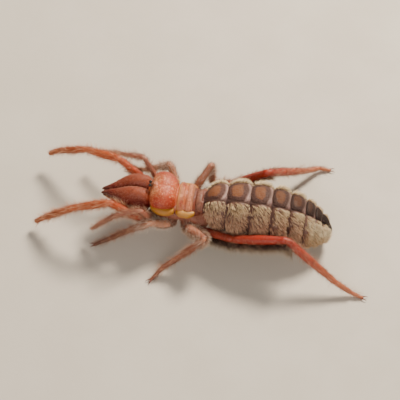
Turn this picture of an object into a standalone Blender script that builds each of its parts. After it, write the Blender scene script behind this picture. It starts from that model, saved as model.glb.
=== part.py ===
# A camel spider at life size, standing with its front body raised and its belly close to the floor.
# The head points to -X, the back is up, and its left side is towards -Y. Lengths are in millimetres
# until each mesh is written in metres.
import math
import random

import bmesh
import bpy
import numpy as np
from mathutils import Vector

MM = 0.001
GAP = 0.3              # between pieces that touch
MIDLINE = 0.15         # half the gap between the left and right pieces
SIDES = {"left": -1.0, "right": 1.0}

# The abdomen: place along the body, height of its middle, half width, height above and below it
ABDOMEN_OUTLINE = [
    (-0.95, 8.1, 1.9, 1.2, 1.1),
    (-0.2, 8.1, 2.2, 1.4, 1.2),
    (0.7, 7.8, 2.8, 2.2, 1.9),
    (2.4, 7.3, 4.1, 4.1, 3.7),
    (5.0, 7.0, 4.9, 5.0, 5.1),
    (8.0, 6.8, 5.5, 5.4, 5.6),
    (12.0, 6.5, 5.6, 5.5, 5.6),
    (16.0, 6.0, 5.4, 5.2, 5.2),
    (19.5, 5.4, 4.8, 4.6, 4.6),
    (22.0, 4.8, 3.9, 3.6, 3.75),
    (23.6, 4.3, 2.8, 2.6, 2.85),
    (24.9, 3.9, 1.6, 1.5, 1.7),
]
ABDOMEN_TIP = 25.5
ABDOMEN_TIP_DROP = 0.2
# Where one ring of the abdomen ends and the next begins
SEGMENT_ENDS = [-0.95, 0.7, 5.2, 9.6, 13.7, 17.15, 20.1, 22.0, 23.4, 24.9]
LONG_RING = 2.0            # length from which a ring has more cross-sections
LONG_RING_SHARES = [0.0, 0.1, 0.36, 0.64, 0.9]
SHORT_RING_SHARES = [0.0, 0.2, 0.8]
GROOVE_DEPTH = 0.42
PLATE_RISE = 0.24
WIDE_RING = 3.5            # length of a ring whose groove has its full depth
SWELL_POWER = 0.55
REAR_MARGIN_RISE = 0.14    # of a back plate over the ring behind it
# Share of the swell and of the groove's depth under it, for back, belly and flank
BACK_SWELL, BACK_SINK = 0.75, 0.6
BELLY_SWELL, BELLY_SINK = 1.0, 0.85
FLANK_SWELL, FLANK_SINK = 1.0, 0.88
BACK_PLATE_ANGLE = 25.0
# The back leans to the right, more towards the tail: degrees at its start and end, and their places
FRONT_LEAN, TAIL_LEAN, LEAN_START, LEAN_END = 5.0, 13.0, 0.7, 19.0
BELLY_PLATE_ANGLE = 146.0
PLATE_EDGE = 4.0           # degrees over which a plate drops to the flank
FLANK_COLUMNS = 8

# Bristle locks on the flanks of the abdomen, laid back and down over one another
LOCK_LENGTH = 2.5
LOCK_WIDTH = 1.5
LOCK_THICKNESS = 0.5
LOCK_SPACING = 1.95
LOCK_ANGLES = (45.0, 138.0)
FIRST_LOCK_RING = 1        # the narrow waist before it is bare
ROW_START, ROW_STAGGER = 0.25, 0.5
DROP_CHANGE = 12.0
LENGTH_CHANGE = (0.85, 1.1)
PLACE_CHANGE = 0.2
LOCK_DROP = 38.0         # degrees below straight back
LOCK_CLEARANCE = 0.4     # kept from the hind legs and the floor
# Share of a lock's length, height over the skin, share of its width
LOCK_COURSE = [(-0.06, -0.42, 0.8), (0.24, 0.18, 1.0), (0.62, 0.42, 0.74), (0.9, 0.5, 0.3)]
LOCK_TIP_HEIGHT = 0.42

# Claws of the walking feet
CLAW_LENGTH = 1.0
CLAW_RADIUS = 0.2
CLAW_SPREAD = 28.0
CLAW_OFFSET = 0.45         # of the foot's radius
CLAW_TIP_DROP = 0.18
# Share of a claw's length, height, share of its radius
CLAW_COURSE = [(-0.3, 0.0, 1.0), (0.3, 0.14, 0.95), (0.7, 0.1, 0.6)]

# Front shield: place along the body, half width, height of its edge, height of its top
SHIELD_OUTLINE = [
    (-9.45, 2.9, 10.1, 11.1),
    (-9.0, 3.7, 10.1, 11.6),
    (-7.9, 4.2, 10.2, 12.0),
    (-6.6, 4.15, 10.1, 11.9),
    (-5.4, 3.6, 9.7, 11.35),
    (-4.7, 2.9, 9.2, 10.75),
]
SHIELD_SAG = 0.6
TUBERCLE_PLACE = -9.15
TUBERCLE_RADIUS = 0.62
TUBERCLE_RISE = 0.75
EYE_RADIUS = 0.34
EYE_PLACE = (-9.72, 0.42, 12.0)

# Yellow lobe under each side of the shield: place along the body, distance from the midline,
# height, half width, half height
LOBE_OUTLINE = [
    (-9.2, 3.2, 8.75, 0.4, 0.45),
    (-8.7, 3.45, 8.8, 0.6, 0.65),
    (-7.8, 3.7, 8.8, 0.8, 0.8),
    (-6.6, 3.75, 8.75, 0.85, 0.8),
    (-5.6, 3.55, 8.55, 0.8, 0.75),
    (-4.9, 3.25, 8.4, 0.6, 0.55),
]

# Middle and rear plates of the front body, as the shield's rows
MIDDLE_PLATE_OUTLINE = [
    (-4.4, 2.8, 8.3, 10.1),
    (-4.05, 3.4, 8.1, 10.3),
    (-3.55, 3.5, 8.1, 10.25),
    (-3.1, 3.2, 8.3, 9.9),
]
REAR_PLATE_OUTLINE = [
    (-2.75, 3.1, 8.3, 9.8),
    (-2.35, 3.4, 8.1, 10.1),
    (-1.85, 3.4, 8.1, 10.05),
    (-1.35, 3.0, 8.3, 9.7),
]
PLATE_SAG = 0.2
DOME_POWER = 0.9           # of the height of a plate across its width

# Jaw: place along the body, distance from the midline, height, half width, half height
JAW_OUTLINE = [
    (-9.8, 1.5, 8.5, 1.2, 1.9),
    (-10.3, 1.55, 8.25, 1.55, 2.7),
    (-11.3, 1.55, 8.0, 1.75, 3.3),
    (-12.6, 1.5, 7.95, 1.75, 3.45),
    (-13.9, 1.45, 8.1, 1.65, 3.0),
    (-15.1, 1.3, 8.35, 1.4, 2.0),
    (-16.3, 1.0, 8.45, 1.0, 1.15),
    (-17.4, 0.75, 8.3, 0.65, 0.7),
    (-18.4, 0.55, 8.05, 0.42, 0.45),
    (-19.0, 0.48, 7.85, 0.3, 0.3),
]
JAW_TIP = (-19.4, 0.45, 7.65)
# Share by which the top of a jaw is squarer than an ellipse
JAW_SQUARENESS = 0.3
FINGER_OUTLINE = [
    (-14.5, 1.25, 4.95, 0.55, 0.4),
    (-15.1, 1.15, 5.4, 0.8, 0.6),
    (-16.2, 0.95, 6.25, 0.7, 0.6),
    (-17.3, 0.75, 6.78, 0.55, 0.48),
    (-18.3, 0.58, 6.98, 0.38, 0.3),
]
FINGER_TIP = (-19.1, 0.47, 7.1)

# Underside: the leg bases spread from the midline to each hip
HIPS = {
    "palp": (-10.0, 4.1, 5.2),
    "leg1": (-8.6, 4.4, 5.6),
    "leg2": (-5.4, 4.1, 5.2),
    "leg3": (-2.2, 4.1, 5.0),
    "leg4": (0.2, 4.3, 4.9),
}
COXA_ROOTS = {"palp": -7.9, "leg1": -6.6, "leg2": -4.8, "leg3": -3.0, "leg4": -1.6}
COXA_RADIUS = {"palp": 0.9, "leg1": 0.8, "leg2": 1.0, "leg3": 1.0, "leg4": 1.0}
COXA_ROOT_HEIGHT = 5.9
COXA_ROOT_OFFSET = 0.9
COXA_ROOT_SHARE = 0.6      # of the base's thickest radius
# Core of the underside on one side, as the lobe's rows
CHEST_OUTLINE = [
    (-9.3, 1.3, 7.9, 1.1, 0.9),
    (-8.6, 1.4, 7.6, 1.5, 1.6),
    (-7.4, 1.5, 7.4, 1.6, 1.9),
    (-6.0, 1.45, 7.3, 1.4, 1.6),
    (-5.2, 1.4, 6.8, 1.4, 1.35),
    (-4.4, 1.3, 6.4, 1.7, 1.15),
    (-2.0, 1.2, 6.3, 1.9, 1.25),
    (-0.9, 1.2, 6.1, 1.4, 0.85),
]
CHEST_TOP = 7.54
CHEST_INSET = 0.01         # of a leg base from the flat of the core at the midline
CHEST_BACK = 0.45

# Limbs: each piece has a name, its lengths, and radii at its start, its thick part and its end
LIMBS = {
    "palp": [
        ("femur", [8.8], (0.7, 0.86, 0.68)),
        ("tibia", [7.7], (0.68, 0.84, 0.66)),
        ("tarsus", [7.8, 2.0], (0.66, 0.7, 0.5)),
    ],
    "leg1": [
        ("femur", [6.4], (0.48, 0.56, 0.45)),
        ("tibia", [6.0], (0.45, 0.5, 0.42)),
        ("tarsus", [4.3, 2.5], (0.42, 0.42, 0.3)),
    ],
    "leg2": [
        ("femur", [5.1], (0.68, 0.86, 0.64)),
        ("tibia", [5.6], (0.64, 0.72, 0.54)),
        ("tarsus", [4.7, 3.5], (0.52, 0.48, 0.3)),
    ],
    "leg3": [
        ("femur", [6.8], (0.75, 0.92, 0.68)),
        ("tibia", [6.5], (0.68, 0.74, 0.56)),
        ("tarsus", [4.3, 3.1], (0.54, 0.5, 0.3)),
    ],
    "leg4": [
        ("trochanter", [7.4], (0.8, 0.88, 0.8)),
        ("femur", [10.7], (0.8, 1.05, 0.82)),
        ("tibia", [12.4], (0.8, 0.84, 0.62)),
        ("tarsus", [3.9, 2.2], (0.58, 0.5, 0.32)),
    ],
}
# The pose, in whole degrees: outward turn from the tail's direction, and rise above level.
# A rise of None runs down to the floor.
POSE = {
    ("palp", "left"): [(175, 39), (177, -21), (-180, -37), (174, -38)],
    ("palp", "right"): [(164, 35), (162, -10), (164, -31), (-175, -31)],
    ("leg1", "left"): [(139, 66), (-178, -31), (177, -46), (171, -45)],
    ("leg1", "right"): [(140, 41), (159, -23), (161, -25), (162, -29)],
    ("leg2", "left"): [(145, 35), (-174, -42), (168, -34), (162, None)],
    ("leg2", "right"): [(117, 45), (143, -50), (159, -43), (172, None)],
    ("leg3", "left"): [(46, 27), (158, -42), (152, -30), (131, None)],
    ("leg3", "right"): [(53, 39), (105, -87), (31, -27), (26, None)],
    ("leg4", "left"): [(20, 13), (3, 15), (20, -32), (12, -29), (10, None)],
    ("leg4", "right"): [(46, -23), (-14, 47), (44, -36), (41, -25), (6, None)],
}
FOOT_HEIGHT = 0.26
MUSCLE_SHIFT, MUSCLE_POWER = 1.15, 0.8     # of the swelling along a limb piece
THICK_LIMB = 0.6           # radius from which a limb piece has more sides
LIMB_TIP_LENGTH = 0.8      # of its end radius

# Colour, roughness for each kind of surface
FINISHES = {
    "jaw": ((0.30, 0.055, 0.035), 0.32),
    "finger": ((0.05, 0.012, 0.012), 0.28),
    "shield": ((0.62, 0.24, 0.13), 0.5),
    "lobe": ((0.72, 0.42, 0.10), 0.4),
    "thorax": ((0.60, 0.26, 0.16), 0.5),
    "chest": ((0.42, 0.17, 0.10), 0.55),
    "eye": ((0.01, 0.01, 0.012), 0.1),
    "abdomen": ((0.30, 0.20, 0.14), 0.6),
    "palp": ((0.62, 0.16, 0.08), 0.45),
    "leg": ((0.60, 0.20, 0.12), 0.45),
}


def clear_scene():
    for thing in list(bpy.data.objects):
        bpy.data.objects.remove(thing)


def finish_material(kind):
    """The material of one kind of surface, made once."""
    name = "camel_spider_" + kind
    if name in bpy.data.materials:
        return bpy.data.materials[name]
    colour, roughness = FINISHES[kind]
    material = bpy.data.materials.new(name)
    material.use_nodes = True
    shader = material.node_tree.nodes["Principled BSDF"]
    shader.inputs["Base Color"].default_value = (*colour, 1.0)
    shader.inputs["Roughness"].default_value = roughness
    shader.inputs["Metallic"].default_value = 0.0
    material.diffuse_color = (*colour, 1.0)
    return material


def add_object(name, bm, kind):
    """Write a mesh in metres as a named object with its faces pointing out."""
    bmesh.ops.scale(bm, vec=(MM, MM, MM), verts=bm.verts)
    bmesh.ops.recalc_face_normals(bm, faces=bm.faces)
    mesh = bpy.data.meshes.new(name)
    bm.to_mesh(mesh)
    bm.free()
    mesh.shade_smooth()
    mesh.materials.append(finish_material(kind))
    piece = bpy.data.objects.new(name, mesh)
    bpy.context.scene.collection.objects.link(piece)
    return piece


def smooth_rows(rows, places):
    """Values at the places, on a smooth curve through rows of (place, value, ...)."""
    table = np.array(rows, dtype=float)
    order = np.argsort(table[:, 0])
    table = table[order]
    x, y = table[:, 0], table[:, 1:]
    slopes = np.gradient(y, x, axis=0)
    result = []
    for place in places:
        i = int(np.clip(np.searchsorted(x, place) - 1, 0, len(x) - 2))
        width = x[i + 1] - x[i]
        t = float(np.clip((place - x[i]) / width, 0.0, 1.0))
        start = (1 + 2 * t) * (1 - t) ** 2 * y[i] + t * (1 - t) ** 2 * width * slopes[i]
        end = t * t * (3 - 2 * t) * y[i + 1] + t * t * (t - 1) * width * slopes[i + 1]
        result.append(start + end)
    return result


def skin_rings(rings, first_tip=None, last_tip=None):
    """A closed mesh through rings of like points, with flat ends or ends drawn to a tip."""
    bm = bmesh.new()
    count = len(rings[0])
    loop = bmesh.ops.create_circle(bm, segments=count, radius=1.0)["verts"]
    for vert, place in zip(loop, rings[0]):
        vert.co = place
    first = list(loop)
    edges = [bm.edges.get((loop[i], loop[(i + 1) % count])) for i in range(count)]
    for ring in rings[1:]:
        grown = bmesh.ops.extrude_edge_only(bm, edges=edges)["geom"]
        new_verts = {v for v in grown if isinstance(v, bmesh.types.BMVert)}
        step = []
        for vert in loop:
            beyond = [edge.other_vert(vert) for edge in vert.link_edges]
            step.append(next(other for other in beyond if other in new_verts))
        loop = step
        for vert, place in zip(loop, ring):
            vert.co = place
        edges = [bm.edges.get((loop[i], loop[(i + 1) % count])) for i in range(count)]
    close_ring(bm, first, first_tip)
    close_ring(bm, loop, last_tip)
    bmesh.ops.recalc_face_normals(bm, faces=bm.faces)
    return bm


def close_ring(bm, loop, tip):
    """Fill a ring of points with a flat face, or draw it to a tip."""
    face = bmesh.ops.contextual_create(bm, geom=loop)["faces"]
    if tip is not None:
        centre = bmesh.ops.poke(bm, faces=face)["verts"][0]
        centre.co = tip


def direction(yaw, rise, side):
    """Unit vector for an outward turn and a rise, both in degrees."""
    turn, lift = math.radians(yaw), math.radians(rise)
    level = math.cos(lift)
    return Vector((math.cos(turn) * level, side * math.sin(turn) * level, math.sin(lift)))


def limb_joints(limb, side_name):
    """Points of a limb from its hip to its foot, one list for each piece."""
    side = SIDES[side_name]
    point = Vector((HIPS[limb][0], side * HIPS[limb][1], HIPS[limb][2]))
    turns = iter(POSE[(limb, side_name)])
    pieces = []
    for _, lengths, _ in LIMBS[limb]:
        points = [point]
        for length in lengths:
            yaw, rise = next(turns)
            if rise is None:
                rise = math.degrees(math.asin((FOOT_HEIGHT - point.z) / length))
            point = point + direction(yaw, rise, side) * length
            points.append(point)
        pieces.append(points)
    return pieces


def joint_plane(before, after):
    """Normal of the plane that halves the bend between two directions."""
    return (before.normalized() + after.normalized()).normalized()


def limb_rings(points, start_normal, end_normal, radii, sides, per_span, start_gap, end_gap):
    """Rings of a limb piece, cut at its ends along the planes of its joints."""
    spans = [points[i + 1] - points[i] for i in range(len(points) - 1)]
    total = sum(span.length for span in spans)
    normals = [start_normal]
    normals += [joint_plane(spans[i], spans[i + 1]) for i in range(len(spans) - 1)]
    normals.append(end_normal)
    rings, done = [], 0.0
    for index, span in enumerate(spans):
        axis = span.normalized()
        across = axis.cross(Vector((0, 0, 1))).normalized()
        upward = across.cross(axis)
        first = 0 if index == 0 else 1
        for step in range(first, per_span + 1):
            share = step / per_span
            t = (done + share * span.length) / total
            start_radius, thick_radius, end_radius = radii
            belly = math.sin(math.pi * min(t * MUSCLE_SHIFT, 1.0)) ** MUSCLE_POWER
            straight = start_radius + (end_radius - start_radius) * t
            radius = straight + (thick_radius - (start_radius + end_radius) / 2) * belly
            ring = []
            for k in range(sides):
                angle = 2 * math.pi * k / sides
                offset = across * math.cos(angle) * radius + upward * math.sin(angle) * radius
                low = -offset.dot(normals[index]) / axis.dot(normals[index])
                high = -offset.dot(normals[index + 1]) / axis.dot(normals[index + 1])
                if index == 0:
                    low += start_gap
                if index == len(spans) - 1:
                    high -= end_gap
                along = low + (span.length + high - low) * share
                ring.append(points[index] + offset + axis * along)
            rings.append(ring)
        done += span.length
    return rings


def build_limb(limb, side_name):
    """Femur to foot of one limb, with a thin cut at each joint."""
    pieces = limb_joints(limb, side_name)
    kind = "palp" if limb == "palp" else "leg"
    root = COXA_ROOTS[limb]
    hip_axis = pieces[0][0] - Vector((root, SIDES[side_name] * COXA_ROOT_OFFSET, COXA_ROOT_HEIGHT))
    for index, (part_name, lengths, radii) in enumerate(LIMBS[limb]):
        points = pieces[index]
        start_axis = points[1] - points[0]
        end_axis = points[-1] - points[-2]
        before = hip_axis if index == 0 else pieces[index - 1][-1] - pieces[index - 1][-2]
        start_normal = joint_plane(before, start_axis)
        last = index == len(pieces) - 1
        end_normal = end_axis.normalized()
        if not last:
            end_normal = joint_plane(end_axis, pieces[index + 1][1] - points[-1])
        start_gap = GAP / 2 / start_axis.normalized().dot(start_normal)
        end_gap = 0.0 if last else GAP / 2 / end_axis.normalized().dot(end_normal)
        sides = 10 if radii[1] > THICK_LIMB else 8
        per_span = 4 if len(lengths) > 1 else 6
        rings = limb_rings(points, start_normal, end_normal, radii, sides, per_span, start_gap, end_gap)
        tip = points[-1] + end_axis.normalized() * radii[2] * LIMB_TIP_LENGTH if last else None
        bm = skin_rings(rings, last_tip=tip)
        if last and POSE[(limb, side_name)][-1][1] is None:
            bm = add_claws(bm, points[-1], end_axis.normalized(), radii[2])
            stand_on_floor(bm)
        add_object(f"{limb}_{side_name}_{part_name}", bm, kind)


def add_claws(foot_mesh, foot, ahead, foot_radius):
    """Two curved claws that spread from the end of a foot."""
    collection = bpy.data.collections.new("claws")
    core = loose_piece(foot_mesh, "foot_core", bpy.context.scene.collection)
    level = Vector((ahead.x, ahead.y, 0)).normalized()
    across = level.cross(Vector((0, 0, 1)))
    for spread in (-CLAW_SPREAD, CLAW_SPREAD):
        turn = math.radians(spread)
        course = level * math.cos(turn) + across * math.sin(turn)
        root = foot + across * math.copysign(foot_radius * CLAW_OFFSET, spread)
        rings = []
        for share, rise, radius_share in CLAW_COURSE:
            centre = root + course * CLAW_LENGTH * share + Vector((0, 0, rise))
            radius = CLAW_RADIUS * radius_share
            sideways = course.cross(Vector((0, 0, 1))) * radius
            rings.append([centre + sideways, centre + Vector((0, 0, radius)), centre - sideways,
                          centre - Vector((0, 0, radius))])
        tip = root + course * CLAW_LENGTH + Vector((0, 0, -CLAW_TIP_DROP))
        loose_piece(skin_rings(rings, last_tip=tip), "claw", collection)
    bpy.context.view_layer.update()
    return join_pieces(core, collection)


def stand_on_floor(bm):
    """Press the lowest part of a foot to a small flat at floor level."""
    for vert in bm.verts:
        vert.co.z = max(vert.co.z, 0.0)


def abdomen_angles():
    """Angles round the abdomen from the middle of its back, closer at the edges of its plates."""
    back = [0.0, 7.0, 14.0, 20.0, BACK_PLATE_ANGLE]
    flank = list(np.linspace(BACK_PLATE_ANGLE + PLATE_EDGE, BELLY_PLATE_ANGLE - PLATE_EDGE, FLANK_COLUMNS))
    belly = [BELLY_PLATE_ANGLE, 157.0, 168.0]
    half = back + flank + belly
    return half + [180.0] + [360.0 - a for a in reversed(half[1:])]


def abdomen_relief(share, angle, ring_width):
    """Height of the surface over the plain outline, within one ring of the abdomen."""
    fold = GROOVE_DEPTH * min(1.0, ring_width / WIDE_RING)
    swell = math.sin(math.pi * share) ** SWELL_POWER
    on_back = min(angle, 360.0 - angle) <= BACK_PLATE_ANGLE
    on_belly = min(angle, 360.0 - angle) >= BELLY_PLATE_ANGLE
    if on_back:
        return PLATE_RISE + fold * (BACK_SWELL * swell - BACK_SINK) + REAR_MARGIN_RISE * share * swell
    if on_belly:
        return PLATE_RISE / 2 + fold * (BELLY_SWELL * swell - BELLY_SINK)
    return fold * (FLANK_SWELL * swell - FLANK_SINK)


def abdomen_point(place, angle):
    """A point of the abdomen's surface, from its place along the body and angle from the back."""
    number = max(0, int(np.searchsorted(SEGMENT_ENDS, place, side="right")) - 1)
    number = min(number, len(SEGMENT_ENDS) - 2)
    start, end = SEGMENT_ENDS[number], SEGMENT_ENDS[number + 1]
    share = min(1.0, max(0.0, (place - start) / (end - start)))
    height, half_width, above, below = smooth_rows(ABDOMEN_OUTLINE, [place])[0]
    toward_tail = min(1.0, max(0.0, (place - LEAN_START) / (LEAN_END - LEAN_START)))
    turn = math.radians(angle + FRONT_LEAN + (TAIL_LEAN - FRONT_LEAN) * toward_tail)
    rise = abdomen_relief(share, angle % 360.0, end - start)
    tall = above if math.cos(turn) > 0 else below
    y = math.sin(turn) * (half_width + rise)
    z = height + math.cos(turn) * (tall + rise)
    return Vector((place, y, z))


def build_abdomen():
    """Ringed abdomen with a raised plate on the back and belly of each ring, and bristly flanks."""
    angles = abdomen_angles()
    shares = LONG_RING_SHARES
    rings = []
    for number in range(len(SEGMENT_ENDS) - 1):
        start, end = SEGMENT_ENDS[number], SEGMENT_ENDS[number + 1]
        used = shares if end - start > LONG_RING else SHORT_RING_SHARES
        if number == len(SEGMENT_ENDS) - 2:
            used = used + [1.0]
        for share in used:
            place = start + (end - start) * share
            rings.append([abdomen_point(place, angle) for angle in angles])
    tip_height = ABDOMEN_OUTLINE[-1][1] - ABDOMEN_TIP_DROP
    bm = skin_rings(rings, last_tip=Vector((ABDOMEN_TIP, 0, tip_height)))
    collection = bpy.data.collections.new("bristle_locks")
    core = loose_piece(bm, "abdomen_core", bpy.context.scene.collection)
    for rings in flank_locks():
        loose_piece(skin_rings(rings[:-1], last_tip=rings[-1]), "lock", collection)
    bpy.context.view_layer.update()
    add_object("abdomen", join_pieces(core, collection), "abdomen")


def lock_rings(place, angle, drop, length):
    """Rings and tip of one flat, tapered lock that follows the curve of the flank."""
    side = 1.0 if angle < 180.0 else -1.0
    half_width = smooth_rows(ABDOMEN_OUTLINE, [place])[0][1]
    back = math.cos(math.radians(drop)) * length
    down = math.degrees(math.sin(math.radians(drop)) * length / half_width) * side

    def over_skin(share, height):
        centre = abdomen_point(place + back * share, angle + down * share)
        middle_height = smooth_rows(ABDOMEN_OUTLINE, [centre.x])[0][0]
        outward = Vector((0, centre.y, centre.z - middle_height)).normalized()
        point = centre + outward * height
        point.z = max(point.z, LOCK_CLEARANCE)
        return point, outward

    rings = []
    for share, height, width_share in LOCK_COURSE:
        point, outward = over_skin(share, height)
        ahead, _ = over_skin(share + 0.1, height)
        across = outward.cross(ahead - point).normalized() * (LOCK_WIDTH / 2 * width_share)
        ridge = outward * (LOCK_THICKNESS / 2)
        rings.append([point - across - ridge, point + across - ridge, point + ridge])
    tip, _ = over_skin(1.0, LOCK_TIP_HEIGHT)
    return rings + [tip]


def flank_locks():
    """Every lock of both flanks, in staggered rows on each ring of the abdomen."""
    draw = random.Random(8)
    legs = hind_leg_lines()
    locks = []
    for number in range(FIRST_LOCK_RING, len(SEGMENT_ENDS) - 1):
        start, end = SEGMENT_ENDS[number], SEGMENT_ENDS[number + 1]
        rows = max(1, round((end - start) / LOCK_SPACING))
        for row in range(rows):
            place = start + (end - start) * (row + 0.45) / rows
            half_width = smooth_rows(ABDOMEN_OUTLINE, [place])[0][1]
            arc = math.radians(LOCK_ANGLES[1] - LOCK_ANGLES[0]) * half_width
            count = max(3, round(arc / LOCK_SPACING))
            for k in range(count):
                share = (k + ROW_START + ROW_STAGGER * (row % 2)) / count
                angle = LOCK_ANGLES[0] + (LOCK_ANGLES[1] - LOCK_ANGLES[0]) * share
                for facing in (angle, 360.0 - angle):
                    drop = LOCK_DROP + draw.uniform(-DROP_CHANGE, DROP_CHANGE)
                    length = LOCK_LENGTH * draw.uniform(*LENGTH_CHANGE) * (0.75 + 0.05 * half_width)
                    moved = place + draw.uniform(-PLACE_CHANGE, PLACE_CHANGE)
                    rings = fit_lock(moved, facing, drop, length, legs)
                    if rings:
                        locks.append(rings)
    return locks


def hind_leg_lines():
    """Centre lines and thickest radii of the limb pieces that pass the abdomen."""
    lines = []
    for side_name in SIDES:
        for limb in ("leg3", "leg4"):
            for points, (_, _, radii) in zip(limb_joints(limb, side_name), LIMBS[limb]):
                lines.append((points[0], points[-1], max(radii)))
    return lines


def fit_lock(place, angle, drop, length, legs):
    """A lock at full length, or shorter where a leg would touch it, or none."""
    for share in (1.0, 0.8, 0.6):
        rings = lock_rings(place, angle, drop, length * share)
        points = [point for ring in rings[1:-1] for point in ring] + [rings[-1]]
        if all(clear_of_line(point, *leg) for point in points for leg in legs):
            return rings
    return None


def clear_of_line(point, start, end, radius):
    """Whether a point keeps its clearance from a limb piece."""
    along = end - start
    share = min(1.0, max(0.0, (point - start).dot(along) / along.length_squared))
    return (point - start - along * share).length > radius + LOCK_CLEARANCE


def dome_rings(outline, places, columns, sag):
    """Rings of a plate that is domed above and nearly flat below."""
    rings = []
    for place, (half_width, edge, top) in zip(places, smooth_rows(outline, places)):
        ring = []
        for k in range(columns):
            angle = 2 * math.pi * k / columns
            y = half_width * math.sin(angle)
            rise = math.cos(angle)
            z = edge + (top - edge) * rise ** DOME_POWER if rise > 0 else edge + sag * rise
            ring.append(Vector((place, y, z)))
        rings.append(ring)
    return rings


def build_shield():
    """Front shield with the eye tubercle raised at the middle of its front edge."""
    places = np.linspace(SHIELD_OUTLINE[0][0], SHIELD_OUTLINE[-1][0], 13)
    rings = dome_rings(SHIELD_OUTLINE, places, 28, SHIELD_SAG)
    for ring in rings:
        middle = (ring[0].z + ring[len(ring) // 2].z) / 2
        for point in ring:
            if point.z > middle:
                distance = math.hypot(point.x - TUBERCLE_PLACE, point.y)
                point.z += TUBERCLE_RISE * math.exp(-(distance / TUBERCLE_RADIUS) ** 2)
    add_object("propeltidium", skin_rings(rings), "shield")


def build_eyes():
    """Two round eyes side by side on the front of the tubercle."""
    for side_name, side in SIDES.items():
        bm = bmesh.new()
        bmesh.ops.create_uvsphere(bm, u_segments=12, v_segments=8, radius=EYE_RADIUS)
        x, y, z = EYE_PLACE
        bmesh.ops.translate(bm, verts=bm.verts, vec=(x, side * y, z))
        add_object(f"eye_{side_name}", bm, "eye")


def build_lobe(side_name):
    """Smooth swollen lobe that lies under the side edge of the shield."""
    rings = oval_rings(LOBE_OUTLINE, SIDES[side_name], 9, 12)
    add_object(f"lateral_lobe_{side_name}", skin_rings(rings), "lobe")


def build_plate(name, outline):
    """Middle or rear plate of the front body."""
    places = np.linspace(outline[0][0], outline[-1][0], 6)
    add_object(name, skin_rings(dome_rings(outline, places, 24, PLATE_SAG)), "thorax")


def oval_rings(outline, side, count, columns, squareness=0.0):
    """Oval rings on one side of the body, flattened where they would cross the midline."""
    places = np.linspace(outline[0][0], outline[-1][0], count)
    rings = []
    for place, (offset, height, half_width, half_height) in zip(places, smooth_rows(outline, places)):
        ring = []
        for k in range(columns):
            angle = 2 * math.pi * k / columns
            y = max(MIDLINE, offset + half_width * math.cos(angle))
            rise = math.sin(angle)
            if rise > 0:
                rise **= 1.0 - squareness
            ring.append(Vector((place, side * y, height + half_height * rise)))
        rings.append(ring)
    return rings


def build_jaw(side_name):
    """Swollen jaw with its fixed finger, and the lower finger that closes against it."""
    side = SIDES[side_name]
    upper = oval_rings(JAW_OUTLINE, side, 15, 20, JAW_SQUARENESS)
    tip = Vector((JAW_TIP[0], side * JAW_TIP[1], JAW_TIP[2]))
    add_object(f"chelicera_{side_name}", skin_rings(upper, last_tip=tip), "jaw")
    lower = oval_rings(FINGER_OUTLINE, side, 8, 12)
    tip = Vector((FINGER_TIP[0], side * FINGER_TIP[1], FINGER_TIP[2]))
    add_object(f"movable_finger_{side_name}", skin_rings(lower, last_tip=tip), "finger")


def loose_piece(bm, name, collection):
    """An object of one shape that waits to be joined with others."""
    bmesh.ops.recalc_face_normals(bm, faces=bm.faces)
    mesh = bpy.data.meshes.new(name)
    bm.to_mesh(mesh)
    bm.free()
    piece = bpy.data.objects.new(name, mesh)
    collection.objects.link(piece)
    return piece


def join_pieces(target, collection):
    """Join a collection of closed shapes to the target and keep its largest closed surface."""
    union = target.modifiers.new("join", "BOOLEAN")
    union.operation = "UNION"
    union.operand_type = "COLLECTION"
    union.collection = collection
    union.solver = "EXACT"
    evaluated = target.evaluated_get(bpy.context.evaluated_depsgraph_get())
    bm = bmesh.new()
    bm.from_mesh(evaluated.to_mesh())
    evaluated.to_mesh_clear()
    for piece in list(collection.objects):
        bpy.data.objects.remove(piece)
    bpy.data.collections.remove(collection)
    bpy.data.objects.remove(target)
    keep_largest(bm)
    return bm


def keep_largest(bm):
    """Delete every closed surface but the one with the most faces."""
    left = set(bm.faces)
    groups = []
    while left:
        front = [left.pop()]
        group = list(front)
        while front:
            face = front.pop()
            for edge in face.edges:
                for neighbour in edge.link_faces:
                    if neighbour in left:
                        left.remove(neighbour)
                        group.append(neighbour)
                        front.append(neighbour)
        groups.append(group)
    groups.sort(key=len)
    for group in groups[:-1]:
        bmesh.ops.delete(bm, geom=group, context="FACES")


def build_chest(side_name):
    """Underside of the front body on one side: five leg bases fused to a core."""
    side = SIDES[side_name]
    rings = oval_rings(CHEST_OUTLINE, side, 10, 12)
    collection = bpy.data.collections.new("leg_bases_" + side_name)
    core = loose_piece(skin_rings(rings), "core_" + side_name, bpy.context.scene.collection)
    for limb, hip in HIPS.items():
        start = Vector((COXA_ROOTS[limb], side * COXA_ROOT_OFFSET, COXA_ROOT_HEIGHT))
        end = Vector((hip[0], side * hip[1], hip[2]))
        first = limb_joints(limb, side_name)[0]
        reach = end - start
        end_normal = joint_plane(reach, first[1] - first[0])
        end_radius = LIMBS[limb][0][2][0]
        radii = (COXA_RADIUS[limb] * COXA_ROOT_SHARE, COXA_RADIUS[limb], end_radius)
        end_gap = GAP / 2 / reach.normalized().dot(end_normal)
        rings = limb_rings([start, end], reach.normalized(), end_normal, radii, 12, 5, 0.0, end_gap)
        loose_piece(clip_chest(skin_rings(rings), side), f"base_{limb}", collection)
    bpy.context.view_layer.update()
    add_object(f"coxae_{side_name}", join_pieces(core, collection), "chest")


def clip_chest(bm, side):
    """Keep a leg base on its own side of the midline and below the plates of the back."""
    for vert in bm.verts:
        vert.co.y = side * max(MIDLINE + CHEST_INSET, side * vert.co.y)
        vert.co.z = min(CHEST_TOP, vert.co.z)
        vert.co.x = min(CHEST_BACK, vert.co.x)
    return bm


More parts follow.
